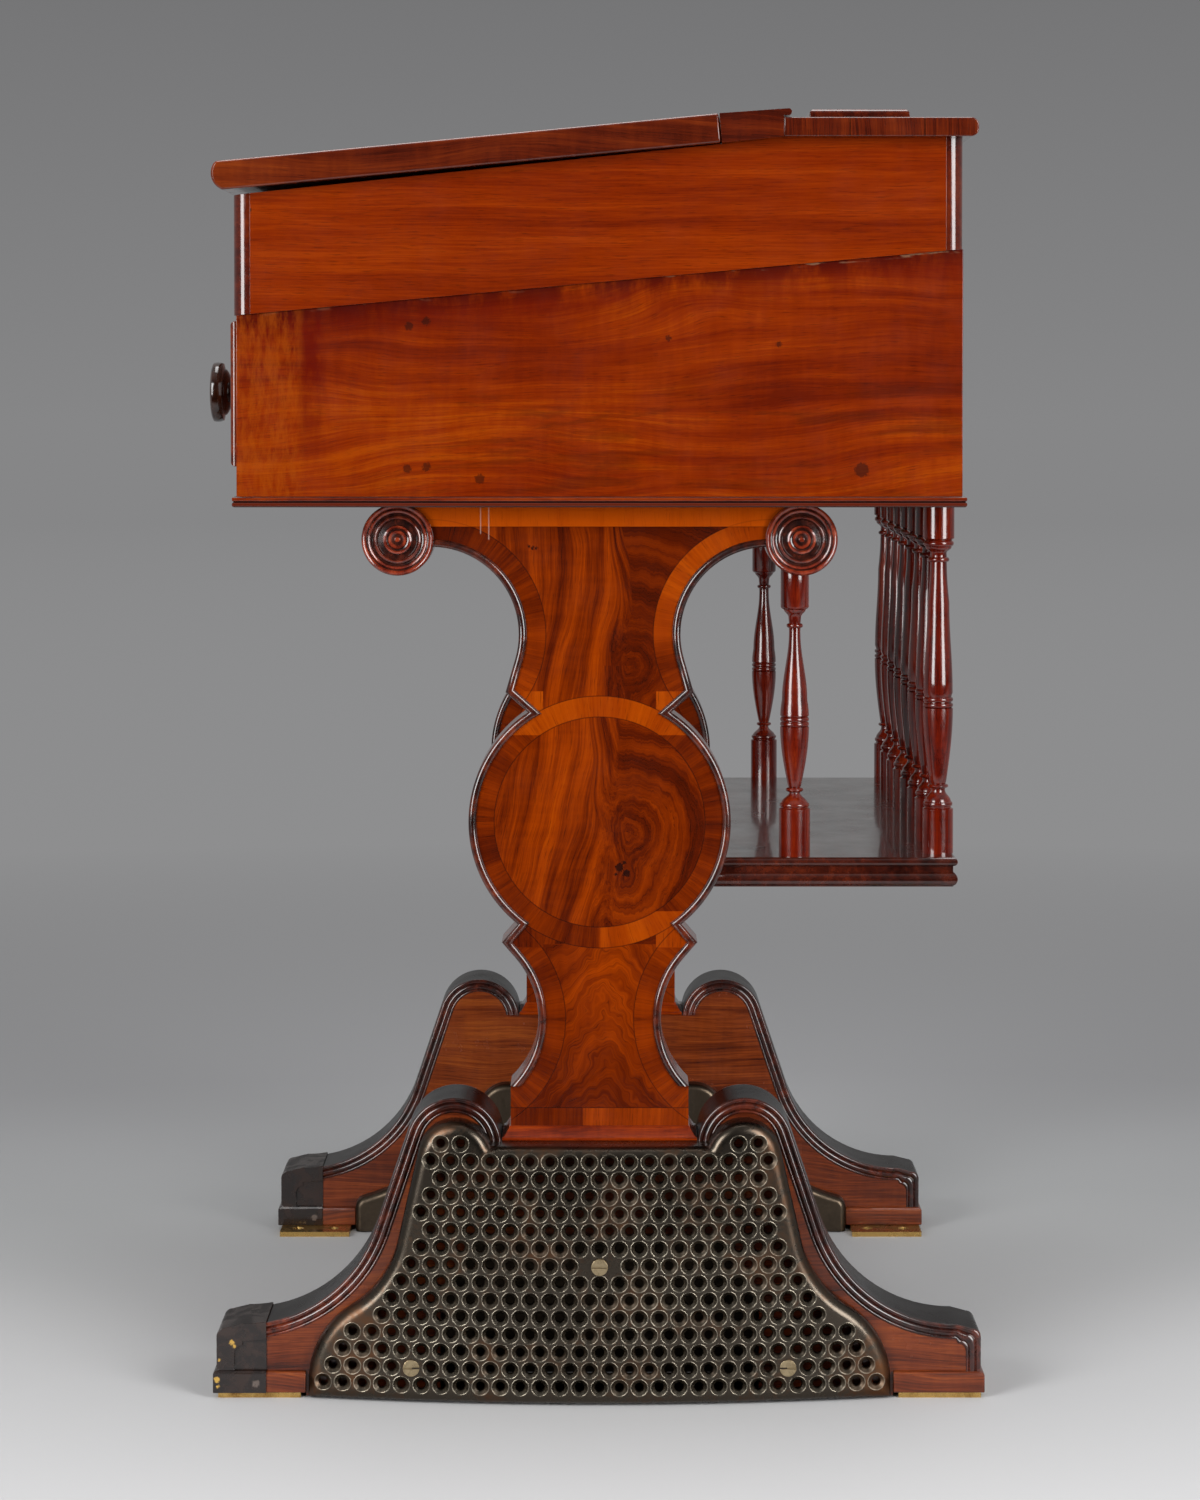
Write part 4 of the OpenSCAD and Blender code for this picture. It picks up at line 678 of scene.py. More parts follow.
def grille_edge(w):
    """Half of the grille's edge, inset by w, from the seat to the floor"""
    leave = crossing_tangent(g_hump, g_hump_r - w, g_hollow, g_hollow_r + w)
    start = 180 - degrees(asin((seat_z - w - g_hump[1]) / (g_hump_r - w)))
    meet = heading_of(g_hollow, g_corner)
    straight = [((grille_half - w) * (1 - i / floor_steps), grille_low + w) for i in range(floor_steps + 1)]
    seat = [(i * (g_hump[0] - g_hump_r) / seat_steps, seat_z - w) for i in range(seat_steps)]
    hump = arc(g_hump, g_hump_r - w, start, leave, arc_steps)
    hollow = arc(g_hollow, g_hollow_r + w, leave + 180, meet, arc_steps)
    flank = [tuple(Vector(hump[-1]).lerp(Vector(hollow[0]), i / flank_steps)) for i in range(1, flank_steps)]
    corner = arc(g_corner, g_corner_r - w, meet - 180, 0, corner_steps)[:-1]
    return seat + hump + flank + hollow + corner + straight


def grille_loop(w):
    half = grille_edge(w)
    return [(-y, z) for y, z in reversed(half[1:-1])] + half


def hole_fits(y, z):
    """True where a funnel keeps its rim inside the humps, the sides and the rounded corners"""
    y = abs(y)
    leave = radians(crossing_tangent(g_hump, g_hump_r, g_hollow, g_hollow_r))
    n = (cos(leave), sin(leave))
    foot_point = (g_hollow[0] - g_hollow_r * n[0], g_hollow[1] - g_hollow_r * n[1])
    meet_z = g_corner_z + g_corner_r * corner_dz / hypot(corner_dz, g_hollow[0] - g_corner[0])
    in_hump = hypot(y - g_hump[0], z - g_hump[1]) <= g_hump_r - hump_rim
    in_side = (y - foot_point[0]) * n[0] + (z - foot_point[1]) * n[1] <= -hole_rim or z < foot_point[1]
    in_hollow = hypot(y - g_hollow[0], z - g_hollow[1]) >= g_hollow_r + hole_rim
    in_corner = (z > meet_z or y < g_corner[0]
                 or hypot(y - g_corner[0], z - g_corner[1]) <= g_corner_r - hole_rim)
    in_top = z <= seat_z - hole_rim and (y <= g_hump[0] or z < g_hump[1])
    return in_hump or (in_side and in_hollow and in_corner and in_top)


holes = []
for row in range(ceil((seat_z + g_hump_r - row_low) / row_pitch) + 1):
    for i in range(-holes_each_way, holes_each_way + 1):
        y, z = (i + (row % 2) / 2) * hole_pitch, row_low + row * row_pitch
        if hole_fits(y, z) and min(hypot(y - a, z - b) for a, b in screws_at) >= screw_clear:
            holes.append((y, z))


# Loops inside the edge that give the rolled part its faces, kept clear of the funnels
loop_insets = (0.3, 0.8, 1.4, 2.1, 2.9, 3.8, 4.8, 5.9, 7.1, 8.4, 10, 12)
loop_clear = 0.3


def pierced_sheet():
    """Flat sheet of the grille's outline with a round opening for each funnel, and its upright edge"""
    near = kdtree.KDTree(len(holes))
    for i, (y, z) in enumerate(holes):
        near.insert((y, z, 0), i)
    near.balance()
    rim = grille_loop(0)
    points, edges = [], []
    for loop in [rim] + [circle(hole, rim_r, hole_steps) for hole in holes]:
        first = len(points)
        points += loop
        edges += [(first + i, first + (i + 1) % len(loop)) for i in range(len(loop))]
    for w in loop_insets:
        points += [p for p in grille_loop(w) if near.find((*p, 0))[2] > rim_r + loop_clear]
    flat, _, faces, *_ = geometry.delaunay_2d_cdt([Vector(p) for p in points], edges, [], 1, 1e-5)
    bm = bmesh.new()
    verts = [bm.verts.new((0, p.x * mm, p.y * mm)) for p in flat]
    for face in faces:
        middle = sum((flat[i] for i in face), Vector((0, 0))) / len(face)
        if near.find((*middle, 0))[2] > rim_r * 0.97:
            bm.faces.new([verts[i] for i in face])
    front_row = row_at(bm, 0, rim)
    depths = [field_x - bulge_axis - sqrt(bulge_r ** 2 - y * y) + grille_roll for y, _ in rim]
    back_row = [bm.verts.new((x * mm, y * mm, z * mm)) for x, (y, z) in zip(depths, rim)]
    bridge(bm, [front_row, back_row], True)
    bmesh.ops.delete(bm, geom=[v for v in bm.verts if not v.link_faces], context="VERTS")
    return finished_mesh("pierced sheet", bm)


# Rings of a funnel as radius, depth and how much lighter it is painted there: wear on the raised rim, and a
# painted highlight on the rim and at the throat
funnel_rings = [(6.6, -0.5, 0.2), (6.25, 0.32, 1), (5.6, -0.5, 0.35), (3.75, -2.5, 0.5), (3.05, -3.3, 0.1),
                (3.0, -6.0, 0)]


def funnel():
    """One funnel in the sheet, with its lighter paint, partly wear and partly painted highlight, kept as the
    attribute worn
    """
    bm = bmesh.new()
    worn = bm.verts.layers.float.new("worn")
    rows = []
    for r, depth, bright in funnel_rings:
        rows.append(row_at(bm, depth, circle((0, 0), r, hole_steps)))
        for v in rows[-1]:
            v[worn] = bright
    bridge(bm, rows, True)
    return smooth_mesh("funnel", bm)


def tree_of(name, *sockets):
    """A geometry tree, its named inputs and its last node; each socket is a name and a type"""
    tree = bpy.data.node_groups.new(name, "GeometryNodeTree")
    tree.interface.new_socket("Geometry", in_out="INPUT", socket_type="NodeSocketGeometry")
    tree.interface.new_socket("Geometry", in_out="OUTPUT", socket_type="NodeSocketGeometry")
    for label, kind in sockets:
        tree.interface.new_socket(label, in_out="INPUT", socket_type="NodeSocket" + kind)
    given = tree.nodes.new("NodeGroupInput")
    return tree, {out.name: Value(out) for out in given.outputs}, tree.nodes.new("NodeGroupOutput")


def set_out(points, piece):
    """A copy of the piece on each point, as real faces"""
    copies = made("GeometryNodeInstanceOnPoints", {"Points": points, "Instance": piece})
    return made("GeometryNodeRealizeInstances", {0: copies})


def mesh_of(name, points, edges=()):
    mesh = bpy.data.meshes.new(name)
    mesh.from_pydata([(0, y * mm, z * mm) for y, z in points], list(edges), [])
    return mesh


casting, given, result = tree_of(
    "pierced casting", ("Funnel", "Object"), ("Hole Centres", "Object"), ("Edge", "Object"),
    ("Bulge Radius", "Float"), ("Bulge Axis", "Float"), ("Roll Radius", "Float"), ("Material", "Material"))
funnel_in, centres_in, edge_in = [made("GeometryNodeObjectInfo", {"Object": given[label]}, "Geometry")
                                  for label in ("Funnel", "Hole Centres", "Edge")]
whole = add(casting, "GeometryNodeJoinGeometry", {0: set_out(centres_in, funnel_in)})
feed(whole, {0: given["Geometry"]})
x, y, z = parts_of(source(casting, "GeometryNodeInputPosition"))
proximity = add(casting, "GeometryNodeProximity", {0: edge_in}, target_element="EDGES")
position_at = next(i for i, socket in enumerate(proximity.inputs) if "Position" in socket.name)
feed(proximity, {position_at: vector(0.0, y, z)})

# The sheet stands on the bulge's arc, and near its edge it drops along the roll's quarter circle
roll, bulge = given["Roll Radius"], given["Bulge Radius"]
short = roll - calc("MINIMUM", Value(proximity.outputs["Distance"]), roll)
drop = roll - calc("SQRT", roll * roll - short * short)
stand = calc("SQRT", bulge * bulge - y * y) + given["Bulge Axis"] - drop
bulged = made("GeometryNodeSetPosition", {"Geometry": Value(whole.outputs[0]),
                                          "Position": vector(x + stand, y, z)})
feed(result, {0: made("GeometryNodeSetMaterial", {"Geometry": bulged, "Material": given["Material"]})})

pierced, tree, shader, dull = metal("pierced bronze", "#4b443c", "#5a3c28", seed=5.2,
                                    roughness=(0.27, 0.5), scale=26, stain_at=(0.5, 0.75))
# Funnels lighter on their rims and throats: partly wear, partly a painted highlight
worn = source(tree, "ShaderNodeAttribute", "Fac", attribute_name="worn")
cloud = spread(noise(place_of(tree), (16, 16, 16), 5, 0.65), 0.35, 0.7)
feed(shader, {"Base Color": blend(worn * (cloud * 0.6 + 0.4), dull, tone("#948d7e"))})

rim = grille_loop(0)
rim_edges = [(i, (i + 1) % len(rim)) for i in range(len(rim))]
helpers = {"Funnel": linked("funnel", funnel()),
           "Hole Centres": linked("hole centres", mesh_of("hole centres", holes)),
           "Edge": linked("grille edge", mesh_of("grille edge", rim, rim_edges))}
casting_inputs = {"Bulge Radius": bulge_r * mm, "Bulge Axis": bulge_axis * mm,
                  "Roll Radius": grille_roll * mm, "Material": pierced, **helpers}
for side, word in sides:
    plate = settled(pierced_sheet(), ("NODES", {"node_group": casting}, casting_inputs))
    placed(f"grille_{word}_casting", to_side(plate, side), "desk", "bronze", pierced, f"grille_{word}")
for helper in helpers.values():
    bpy.data.objects.remove(helper)

screw_metal = metal("grille screw", "#b9a684", "#7a6a50", seed=2.4, roughness=(0.3, 0.5), scale=90)[0]
eased("grille_screw_heads", "grille_screws", 0.45, "desk", "brass", screw_metal)


# Foot caps
# A short mahogany moulding glued between foot and upright: a fillet at the foot, a step and a bevel.

cap_wood = board_finish("cap wood", "yxz", ["#6a1c04", "#8e2c03", "#a83c03", "#bc4c06"], seed=2, shine=0.3)
for _, word in sides:
    eased(f"foot_cap_{word}_moulding", f"foot_cap_{word}", 0.4, "desk", "mahogany", cap_wood)


# Uprights
# A thick mahogany board, sawn to a waisted outline with a disc between four pointed ears, and veneered on
# its faces: crotch figure in the fields, crossbanding along the hollows, round the disc and at the ends.

upright_in_x, upright_face_x = 252, 292
cap_top, case_low = 191, 627
disc, disc_r = (0, 405), 92.1
up_hollow, up_hollow_r = (118, 537), 61.3
up_ear, up_ear_deg = (66, 496.3), 41.6
low_hollow, low_hollow_r = (109, 266), 66
low_ear, low_ear_deg = (68.7, 320.3), 48.8
pier_half, pier_top = 62.5, 219
scroll, scroll_r = (141.4, 603.5), 25.3
bead_w, bead_rise = 5.6, 2.6


def meeting_angle(c1, r1, c2, r2, turn):
    """Angle on the first circle where the second one crosses it, on the side that turn names"""
    dy, dz = c2[0] - c1[0], c2[1] - c1[1]
    gap = hypot(dy, dz)
    return degrees(atan2(dz, dy) + turn * acos((gap * gap + r1 * r1 - r2 * r2) / (2 * gap * r1)))


def ear(hollow, r, tip, slope, turn, w):
    """Inset ear: where its cut meets the disc, its tip, and the angle at which its flank meets the hollow"""
    ty, tz = tip[0] - hollow[0], tip[1] - hollow[1]
    touch = atan2(tz, ty) - turn * acos(r / hypot(ty, tz))
    n1 = Vector((-cos(touch), -sin(touch)))
    n2 = Vector((sin(radians(slope)), -turn * cos(radians(slope))))
    inner_tip = Vector(tip) - w * (n1 + n2) / (1 + n1.dot(n2))
    along = Vector((-cos(radians(slope)), -turn * sin(radians(slope))))
    off = inner_tip - Vector(disc)
    b, c = off.dot(along), off.length_squared - (disc_r - w) ** 2
    meet = inner_tip + along * (-b - sqrt(b * b - c))
    iy, iz = inner_tip.x - hollow[0], inner_tip.y - hollow[1]
    flank = atan2(iz, iy) - turn * acos((r + w) / hypot(iy, iz))
    return meet, inner_tip, degrees(flank)


def upright_edge(w):
    """Half of the upright's edge, inset by w, from the scroll down to the pier"""
    up_meet, up_tip, up_flank = ear(up_hollow, up_hollow_r, up_ear, up_ear_deg, 1, w)
    low_meet, low_tip, low_flank = ear(low_hollow, low_hollow_r, low_ear, low_ear_deg, -1, w)
    top = meeting_angle(up_hollow, up_hollow_r + w, scroll, scroll_r, 1) % 360
    foot_point = degrees(asin((pier_top - low_hollow[1]) / (low_hollow_r + w)))
    disc_top, disc_low = [degrees(atan2(meet.y - disc[1], meet.x)) for meet in (up_meet, low_meet)]
    return (arc(up_hollow, up_hollow_r + w, top, up_flank % 360, 26) + [tuple(up_tip)]
            + arc(disc, disc_r - w, disc_top, disc_low, 40) + [tuple(low_tip)]
            + arc(low_hollow, low_hollow_r + w, low_flank % 360, 180 - foot_point, 26))


head_start = 90 + degrees(acos((case_low - scroll[1]) / scroll_r))
head_end = meeting_angle(scroll, scroll_r, up_hollow, up_hollow_r, -1) % 360
head = arc(scroll, scroll_r, head_start, head_end, 10)[:-1]
upright_outline = both_sides(head + upright_edge(0) + [(pier_half, pier_top), (pier_half, cap_top)])

# Where the veneers meet: the disc's field and band as radii, the waist and the end bands as heights
disc_field_r, disc_band_r, hollow_band = 74, 88.7, 13.5
waist_z, top_band_z, low_band_z = 319, 612.5, 203.5
ear_in, up_patch, low_patch = 39.65, (470, 497), (316.7, 340)
ring_bright_over, ring_bright_under = 466.2, 342.2
upright_scratches = [(-83.3, 607), (-77.6, 603)]
upright_spots = [(-49.5, 598.6, 1.1), (-47, 597.8, 1.4), (-44.4, 597.2, 1), (14, 373, 3.2), (19, 369, 2.6),
                 (17.5, 376.5, 1.5), (11.5, 368, 1.2)]


def past(value, at, soft=0.1):
    """1 where the value is past a place in mm, with a soft edge"""
    return spread(value, (at - soft) * mm, (at + soft) * mm)


def before(value, at, soft=0.1):
    return spread(value, (at + soft) * mm, (at - soft) * mm)


def between(value, low, high):
    return past(value, low, 0.12) * before(value, high, 0.12)


def line_at(value, at, outer=0.5, inner=0.2):
    """1 on a thin line at a place in mm"""
    return spread(abs(value - at * mm), outer * mm, inner * mm)


def veneer_finish():
    """Veneers of the upright's faces, laid by their places on the face"""
    material, tree, shader = new_finish("upright veneers")
    x, y, z = coordinates(tree, "xyz")
    away = abs(y)

    def round_from(centre, across):
        """Distance from a centre, and the turn round it"""
        return reach_from(centre, across, z), calc("ARCTAN2", z - centre[1] * mm, across - centre[0] * mm)

    def wobble(reach, stretch, *more):
        """Noise from minus to plus reach, in mm"""
        return spread(noise(place_of(tree), stretch, *more), 0.3, 0.7, (-reach * mm, reach * mm))

    def leaf(along, across, contrast, level):
        """A sheet of veneer: the directions of its fibres, and its place between dark and light"""
        return vector(along, across), source(tree, "ShaderNodeCombineXYZ", 0, {0: contrast, 1: level})

    def lay(mask, under, over):
        return [made("ShaderNodeMix", {0: mask, 4: a, 5: b}, 1, data_type="VECTOR")
                for a, b in zip(under, over)]

    light, dark = (0.34, 0.56), (0.42, 0.2)
    warp = wobble(6, (11, 11, 8), 2)
    feather = wobble(2.2, (150, 150, 45), 4, 0.65)
    sway = wobble(16, (24, 24, 16), 3, 0.6)
    below_top = z - 0.7
    stripes = leaf(z, y + warp + below_top * below_top * 0.35, 0.7, 0.13)

    def plume(knots, contrast, level):
        """Crotch figure: soft rings that run round two knots"""
        (first, turn), (second, _) = [round_from(knot, y) for knot in knots]
        rings = calc("SMOOTH_MIN", first, second + 0.012, 0.02)
        return leaf(turn * 0.03, warp * 0.8 + (rings * 1.15 + feather), contrast, level)

    # Soft vaults from two leaves of veneer that were opened like a book, brighter along their joint
    off_joint = y - 0.004
    vault = calc("SQRT", off_joint * off_joint + 0.00006) * 1.3 + (sway + z)
    heart = spread(abs(off_joint + warp), 0.008, 0.042, (0.22, 0.06))
    arches = leaf(y, vault * 0.55, 0.55, heart)

    wander = warp * 2 + y
    face = lay(spread(wander, 0.002, 0.018), stripes, plume([(22, 515), (14, 485)], 0.45, 0.13))
    face = lay(before(z, waist_z), face, arches)
    disc_reach, disc_turn = round_from(disc, y)
    disc_field = lay(spread(wander, -0.008, 0.014), stripes, plume([(20, 398), (16, 366)], 0.6, 0.12))
    face = lay(between(disc_reach, -1, disc_field_r), face, disc_field)

    # Crossbanding, its fibres square to the edge: darker on the left than on the right
    right = past(y, 0, 1)
    up_levels = spread(z, 0.5, 0.585, (0.34, 0.12)), spread(z, 0.515, 0.56, (0.2, 0.5))
    glue_lines = [(disc_reach, disc_field_r), (disc_reach, disc_band_r), (z, top_band_z), (z, low_band_z)]
    for centre, r, levels in ((up_hollow, up_hollow_r, up_levels), (low_hollow, low_hollow_r, (0.18, 0.26))):
        reach, turn = round_from(centre, away)
        band_end = r + bead_w + hollow_band
        bands = [leaf(reach, abs(turn) * ((r + 12) * mm), 0.42, level) for level in levels]
        face = lay(between(reach, r - 1, band_end), face, lay(right, *bands))
        glue_lines.append((reach, band_end))
    ears = past(away, ear_in, 0.15)
    dark_patch, light_patch = [leaf(z, away, *shade) for shade in (dark, light)]
    face = lay(ears * between(z, *up_patch), face, light_patch)
    face = lay(ears * between(z, *low_patch), face, lay(right, dark_patch, light_patch))
    bright_low = right * before(z, ring_bright_under, 0.2)
    bright_arc = calc("MAXIMUM", past(z, ring_bright_over, 0.2), bright_low)
    ring = [leaf(disc_reach, disc_turn * 0.081, *shade) for shade in (dark, light)]
    face = lay(between(disc_reach, disc_field_r, disc_band_r), face, lay(bright_arc, *ring))
    face = lay(past(z, top_band_z), face, leaf(z, y, 0.5, 0.6))
    face = lay(before(z, low_band_z), face, leaf(z, y, 0.36, spread(y, -0.012, -0.0115, (0.2, 0.42))))
    face = lay(sideways(tree), face, leaf(z, x, *dark))

    (along, across, _), (contrast, level, _) = [parts_of(value) for value in face]
    mixture, pores = figure(along, across, x * 0.2, seed=1, cloud=0.14, stripe=0.56, fine=0.22, ripple=0.08,
                            sway=0.4, width=1.6)
    tones = ["#3a0f04", "#641c02", "#8c2f01", "#ac4001", "#c45204"]
    colour, relief = stained_wood(mixture * contrast + level, pores, tones)

    # Thin dark glue lines between the veneers, and two scratches under the case
    line = 0.0
    for value, at in glue_lines:
        line = calc("MAXIMUM", line_at(value, at), line)
    colour = blend(line * 0.6, colour, tone("#1a0704"))
    # The top band painted lighter still: painted light that makes up for the shade that the case casts on it
    colour = blend(past(z, top_band_z) * 0.4, colour, dyed("#ff6a08"))
    for at, foot in upright_scratches:
        scratch = line_at(y, at, 0.6, 0.1) * past(z, foot + 0.5, 0.5)
        colour = blend(scratch * 0.6, colour, tone("#a8877a"))
    polish(shader, stains(colour, upright_spots), relief, shine=0.35)
    return material


veneers = veneer_finish()
for side, word in sides:
    core = sawn("upright", (upright_in_x, upright_face_x), side, upright_outline)
    placed(f"upright_{word}_board", core, "desk", "mahogany", veneers, f"upright_{word}")

half_round = [(bead_w / 2 * (1 - cos(radians(a))), bead_rise * sin(radians(a))) for a in range(0, 181, 20)]
upright_bead_section = [(0, -0.2)] + half_round + [(bead_w, -0.2)]
upright_bead_finish = bead_finish("upright bead polish", 3)
for side, word in sides:
    beads = edge_beads("upright edge", upright_edge, upright_bead_section, upright_in_x, upright_face_x,
                       side)
    placed(f"upright_{word}_edge", beads, "desk", "dark_mahogany", upright_bead_finish,
           f"upright_bead_{word}")


# Scroll rolls and bearers
# Turned rolls under the case at each side of the uprights, with rings and a button on the outer end.
# Inside, a pine bearer screws the case to each upright.

def turned(name, profile, centre, axis, steps):
    """A turned piece; the profile is radius and height along the axis, in mm, from its centre"""
    bm = bmesh.new()
    rows = []
    for r, t in profile:
        row = []
        for y, z in circle((0, 0), r, steps) if r > 0 else [(0, 0)]:
            place = {"x": (t, y, z), "z": (y, z, t), "-y": (y, -t, z)}[axis]
            row.append(bm.verts.new([(c + p) * mm for c, p in zip(centre, place)]))
        rows.append(row)
    for low, high in zip(rows, rows[1:]):
        for i in range(steps):
            corners = [row[j % len(row)] for row, j in ((low, i - 1), (low, i), (high, i), (high, i - 1))]
            bm.faces.new(list(dict.fromkeys(corners)))
    for row in (rows[0], rows[-1]):
        if len(row) > 1:
            bm.faces.new(row)
    return finished_mesh(name, bm)


scroll_face = [(0, 3.2), (1.5, 3.1), (2.0, 1.6), (3.6, 1.4), (5.0, 2.6), (6.2, 2.4), (6.8, 1.3), (7.8, 1.6),
               (8.8, 3.1), (9.8, 2.6), (10.4, 0.6), (13.4, 0), (14.2, 1.3), (15.4, 2.2), (16.6, 1.7),
               (17.4, 0.7), (18.2, 0.9), (19.2, 2.3), (20.3, 2.7), (21.2, 1.5), (21.6, 1.6), (22.6, 3.1),
               (23.8, 3.6), (24.8, 2.8), (25.3, 1.2)]
scroll_out, scroll_relief, scroll_back = 5, 3.6, 2
rubbed_from, rubbed_to, scroll_steps = 1.5, 2.6, 56
scroll_ground, scroll_end = upright_face_x + scroll_out - scroll_relief, upright_in_x - scroll_back
scroll_profile = [(r, scroll_ground + h) for r, h in scroll_face]
scroll_profile += [(scroll_r, upright_in_x), (scroll_r - 1, scroll_end), (0, scroll_end)]


def scroll_finish():
    """The bead's dark polish in the grooves, rubbed through to red-brown on the ridges"""
    material, tree, shader = new_finish("scroll polish")
    out = abs(coordinates(tree, "x")[0])
    ridge = spread(out, (scroll_ground + rubbed_from) * mm, (scroll_ground + rubbed_to) * mm)
    flecks = spread(noise(place_of(tree), (160, 160, 160), 4, 0.62), 0.3, 0.7)
    red = shades(flecks, "#3a0f08", "#6a2211", "#8a3a20")
    dark = shades(flecks, "#140706", "#2a100b", "#43190f")
    polish(shader, blend(ridge, dark, red), flecks, shine=0.6, roughness=(0.14, 0.3), bump=0.3)
    return material


scroll_polish = scroll_finish()
for side, word in sides:
    rolls = []
    for end in (-1, 1):
        roll = turned("roll", scroll_profile, (0, end * scroll[0], scroll[1]), "x", scroll_steps)
        for v in roll.vertices:
            v.co.z = min(v.co.z, case_low * mm)
        rolls.append(to_side(roll, side))
    placed(f"scrolls_{word}_turned", joined("scrolls", rolls), "desk", "dark_mahogany", scroll_polish,
           f"scrolls_{word}")

pine = board_finish("old pine", "yxz", ["#7a5230", "#a07448", "#bc9060", "#d0a878"], seed=9, stripe=0.5,
                    ripple=0.0, shine=0.0, roughness=(0.6, 0.8))
eased("case_bearers", "bearers", 0.5, "desk", "pine", pine)


# Book shelf and spindles
# A mahogany shelf with a reeded edge hangs between the uprights on eight turned spindles at the rear
# and one under the inner scroll at each end.

shelf_wood = board_finish("shelf wood", "xyz", ["#240a06", "#40140a", "#581e0e", "#702a12"], seed=3,
                          shine=0.55, roughness=(0.15, 0.3))
eased("book_shelf", "shelf", 0.25, "desk", "dark_mahogany", shelf_wood)

shelf_top, spindle_y, spindle_reach, spindle_count = 378.5, 241, 250, 8
side_spindle_x, side_spindle_y = 266, 138
rear_steps, side_steps = 32, 36


def curve_between(start, end, shape, count=5):
    """Points of a cove, vase or taper between two (radius, height) points"""
    ways = {"vase": lambda t: sin(t * pi / 2), "taper": lambda t: 1 - cos(t * pi / 2),
            "ease": lambda t: (1 - cos(t * pi)) / 2}
    (r0, z0), (r1, z1), way = start, end, ways[shape]
    return [(r0 + (r1 - r0) * way(i / count), z0 + (z1 - z0) * i / count) for i in range(1, count + 1)]


def round_bead(r0, r1, z0, z1, count=6):
    return [(r0 + (r1 - r0) * sin(pi * i / count), (z0 + z1) / 2 - (z1 - z0) / 2 * cos(pi * i / count))
            for i in range(count + 1)]


rear_profile = [(0, shelf_top), (10.9, shelf_top), (10.9, 410.2), (9.2, 411.2)]
rear_profile += round_bead(9.4, 10.4, 412, 415.3) + curve_between((9.2, 415.8), (5, 423.4), "ease")
rear_profile += round_bead(5.2, 7.4, 424.8, 427.9) + [(5.8, 429)]
rear_profile += curve_between((5.8, 429), (10.6, 481.9), "vase", 9)
rear_profile += round_bead(9.4, 10.7, 482.4, 485.8) + round_bead(9.4, 10.7, 486.4, 489.8)
rear_profile += [(9.6, 490.6), (10.4, 493)]
rear_profile += curve_between((10.4, 493), (7.8, 557), "ease", 8)
rear_profile += curve_between((7.8, 557), (5.9, 585), "vase", 4)
rear_profile += round_bead(5.9, 7.7, 585.9, 589.5) + [(5.7, 592.5)]
rear_profile += curve_between((5.7, 592.5), (9.3, 596.3), "ease", 4) + round_bead(9.4, 10.9, 597.2, 601.2)
rear_profile += [(9.9, 602), (11.2, 602.8), (11.2, case_low), (0, case_low)]

side_profile = [(0, shelf_top), (11, shelf_top), (11, 411.8), (9.6, 412.6)]
side_profile += round_bead(9.6, 10.5, 413.2, 415.9) + curve_between((8.9, 416.4), (3.8, 423), "ease")
side_profile += round_bead(4, 6.2, 423.7, 426.9) + [(4.6, 428)]
side_profile += curve_between((4.6, 428), (10.2, 470), "vase", 9)
side_profile += round_bead(9.2, 10.2, 470.3, 473.4) + round_bead(9.2, 10.2, 473.8, 476.8) + [(10.1, 478)]
side_profile += curve_between((10.1, 478), (9, 489), "taper", 3)
side_profile += curve_between((9, 489), (4, 537), "ease", 9) + round_bead(4.1, 5.8, 540, 543.2)
side_profile += [(4.5, 548)] + curve_between((4.5, 548), (7.8, 553), "ease", 4)
side_profile += [(9.4, 554), (10, 555), (10, 584), (0, 584)]

spindle_polish, tree, shader = new_finish("spindle polish")
colour, relief = grain(*coordinates(tree, "zxy"), ["#400b05", "#621206", "#801f08", "#9c340e"], seed=6)
polish(shader, colour, relief, shine=0.6, roughness=(0.12, 0.25))

row_tree, given, result = tree_of("row of spindles", ("Count", "Int"), ("First", "Vector"),
                                  ("Pitch", "Vector"), ("Material", "Material"))
row_line = made("GeometryNodeMeshLine", {"Count": given["Count"], "Start Location": given["First"],
                                         "Offset": given["Pitch"]}, mode="OFFSET")
row = set_out(row_line, given["Geometry"])
feed(result, {0: made("GeometryNodeSetMaterial", {"Geometry": row, "Material": given["Material"]})})

pitch = 2 * spindle_reach / (spindle_count - 1)
row_inputs = {"Count": spindle_count, "First": (-spindle_reach * mm, spindle_y * mm, 0),
              "Pitch": (pitch * mm, 0, 0), "Material": spindle_polish}
rear_spindle = turned("spindle", rear_profile, (0, 0, 0), "z", rear_steps)
rear_row = settled(rear_spindle, ("NODES", {"node_group": row_tree}, row_inputs))
placed("rear_spindles", rear_row, "desk", "dark_mahogany", spindle_polish,
       *[f"shelf_spindle_{i + 1}" for i in range(spindle_count)])

side_pair = []
for side, _ in sides:
    spindle = turned("spindle", side_profile, (side * side_spindle_x, side_spindle_y, 0), "z", side_steps)
    for v in spindle.vertices:
        reach = min(abs(v.co.y / mm - scroll[0]), scroll_r)
        v.co.z = min(v.co.z, (scroll[1] - sqrt(scroll_r ** 2 - reach ** 2)) * mm)
    side_pair.append(spindle)
placed("side_spindles_turned", joined("side spindles", side_pair), "desk", "dark_mahogany", spindle_polish,
       "side_spindles")


# Lower case
# Mahogany sides and back with a sloped top edge, front rails over and under the drawer, and a small
# moulding of two reeds round its foot. The bottom and the runners inside are pine.

case_slope = tan(radians(5.19))
case_front_y, case_front_top = 251.5, 759.8
reed_h = 3.7
case_spots = [(47.6, 744, 2), (124, 739.8, 2), (-131.7, 752.3, 3), (-119.9, 755.8, 3), (-133.1, 653.6, 3),
              (-119.9, 655, 3), (-83, 646.7, 3.4), (181.7, 652.9, 5)]


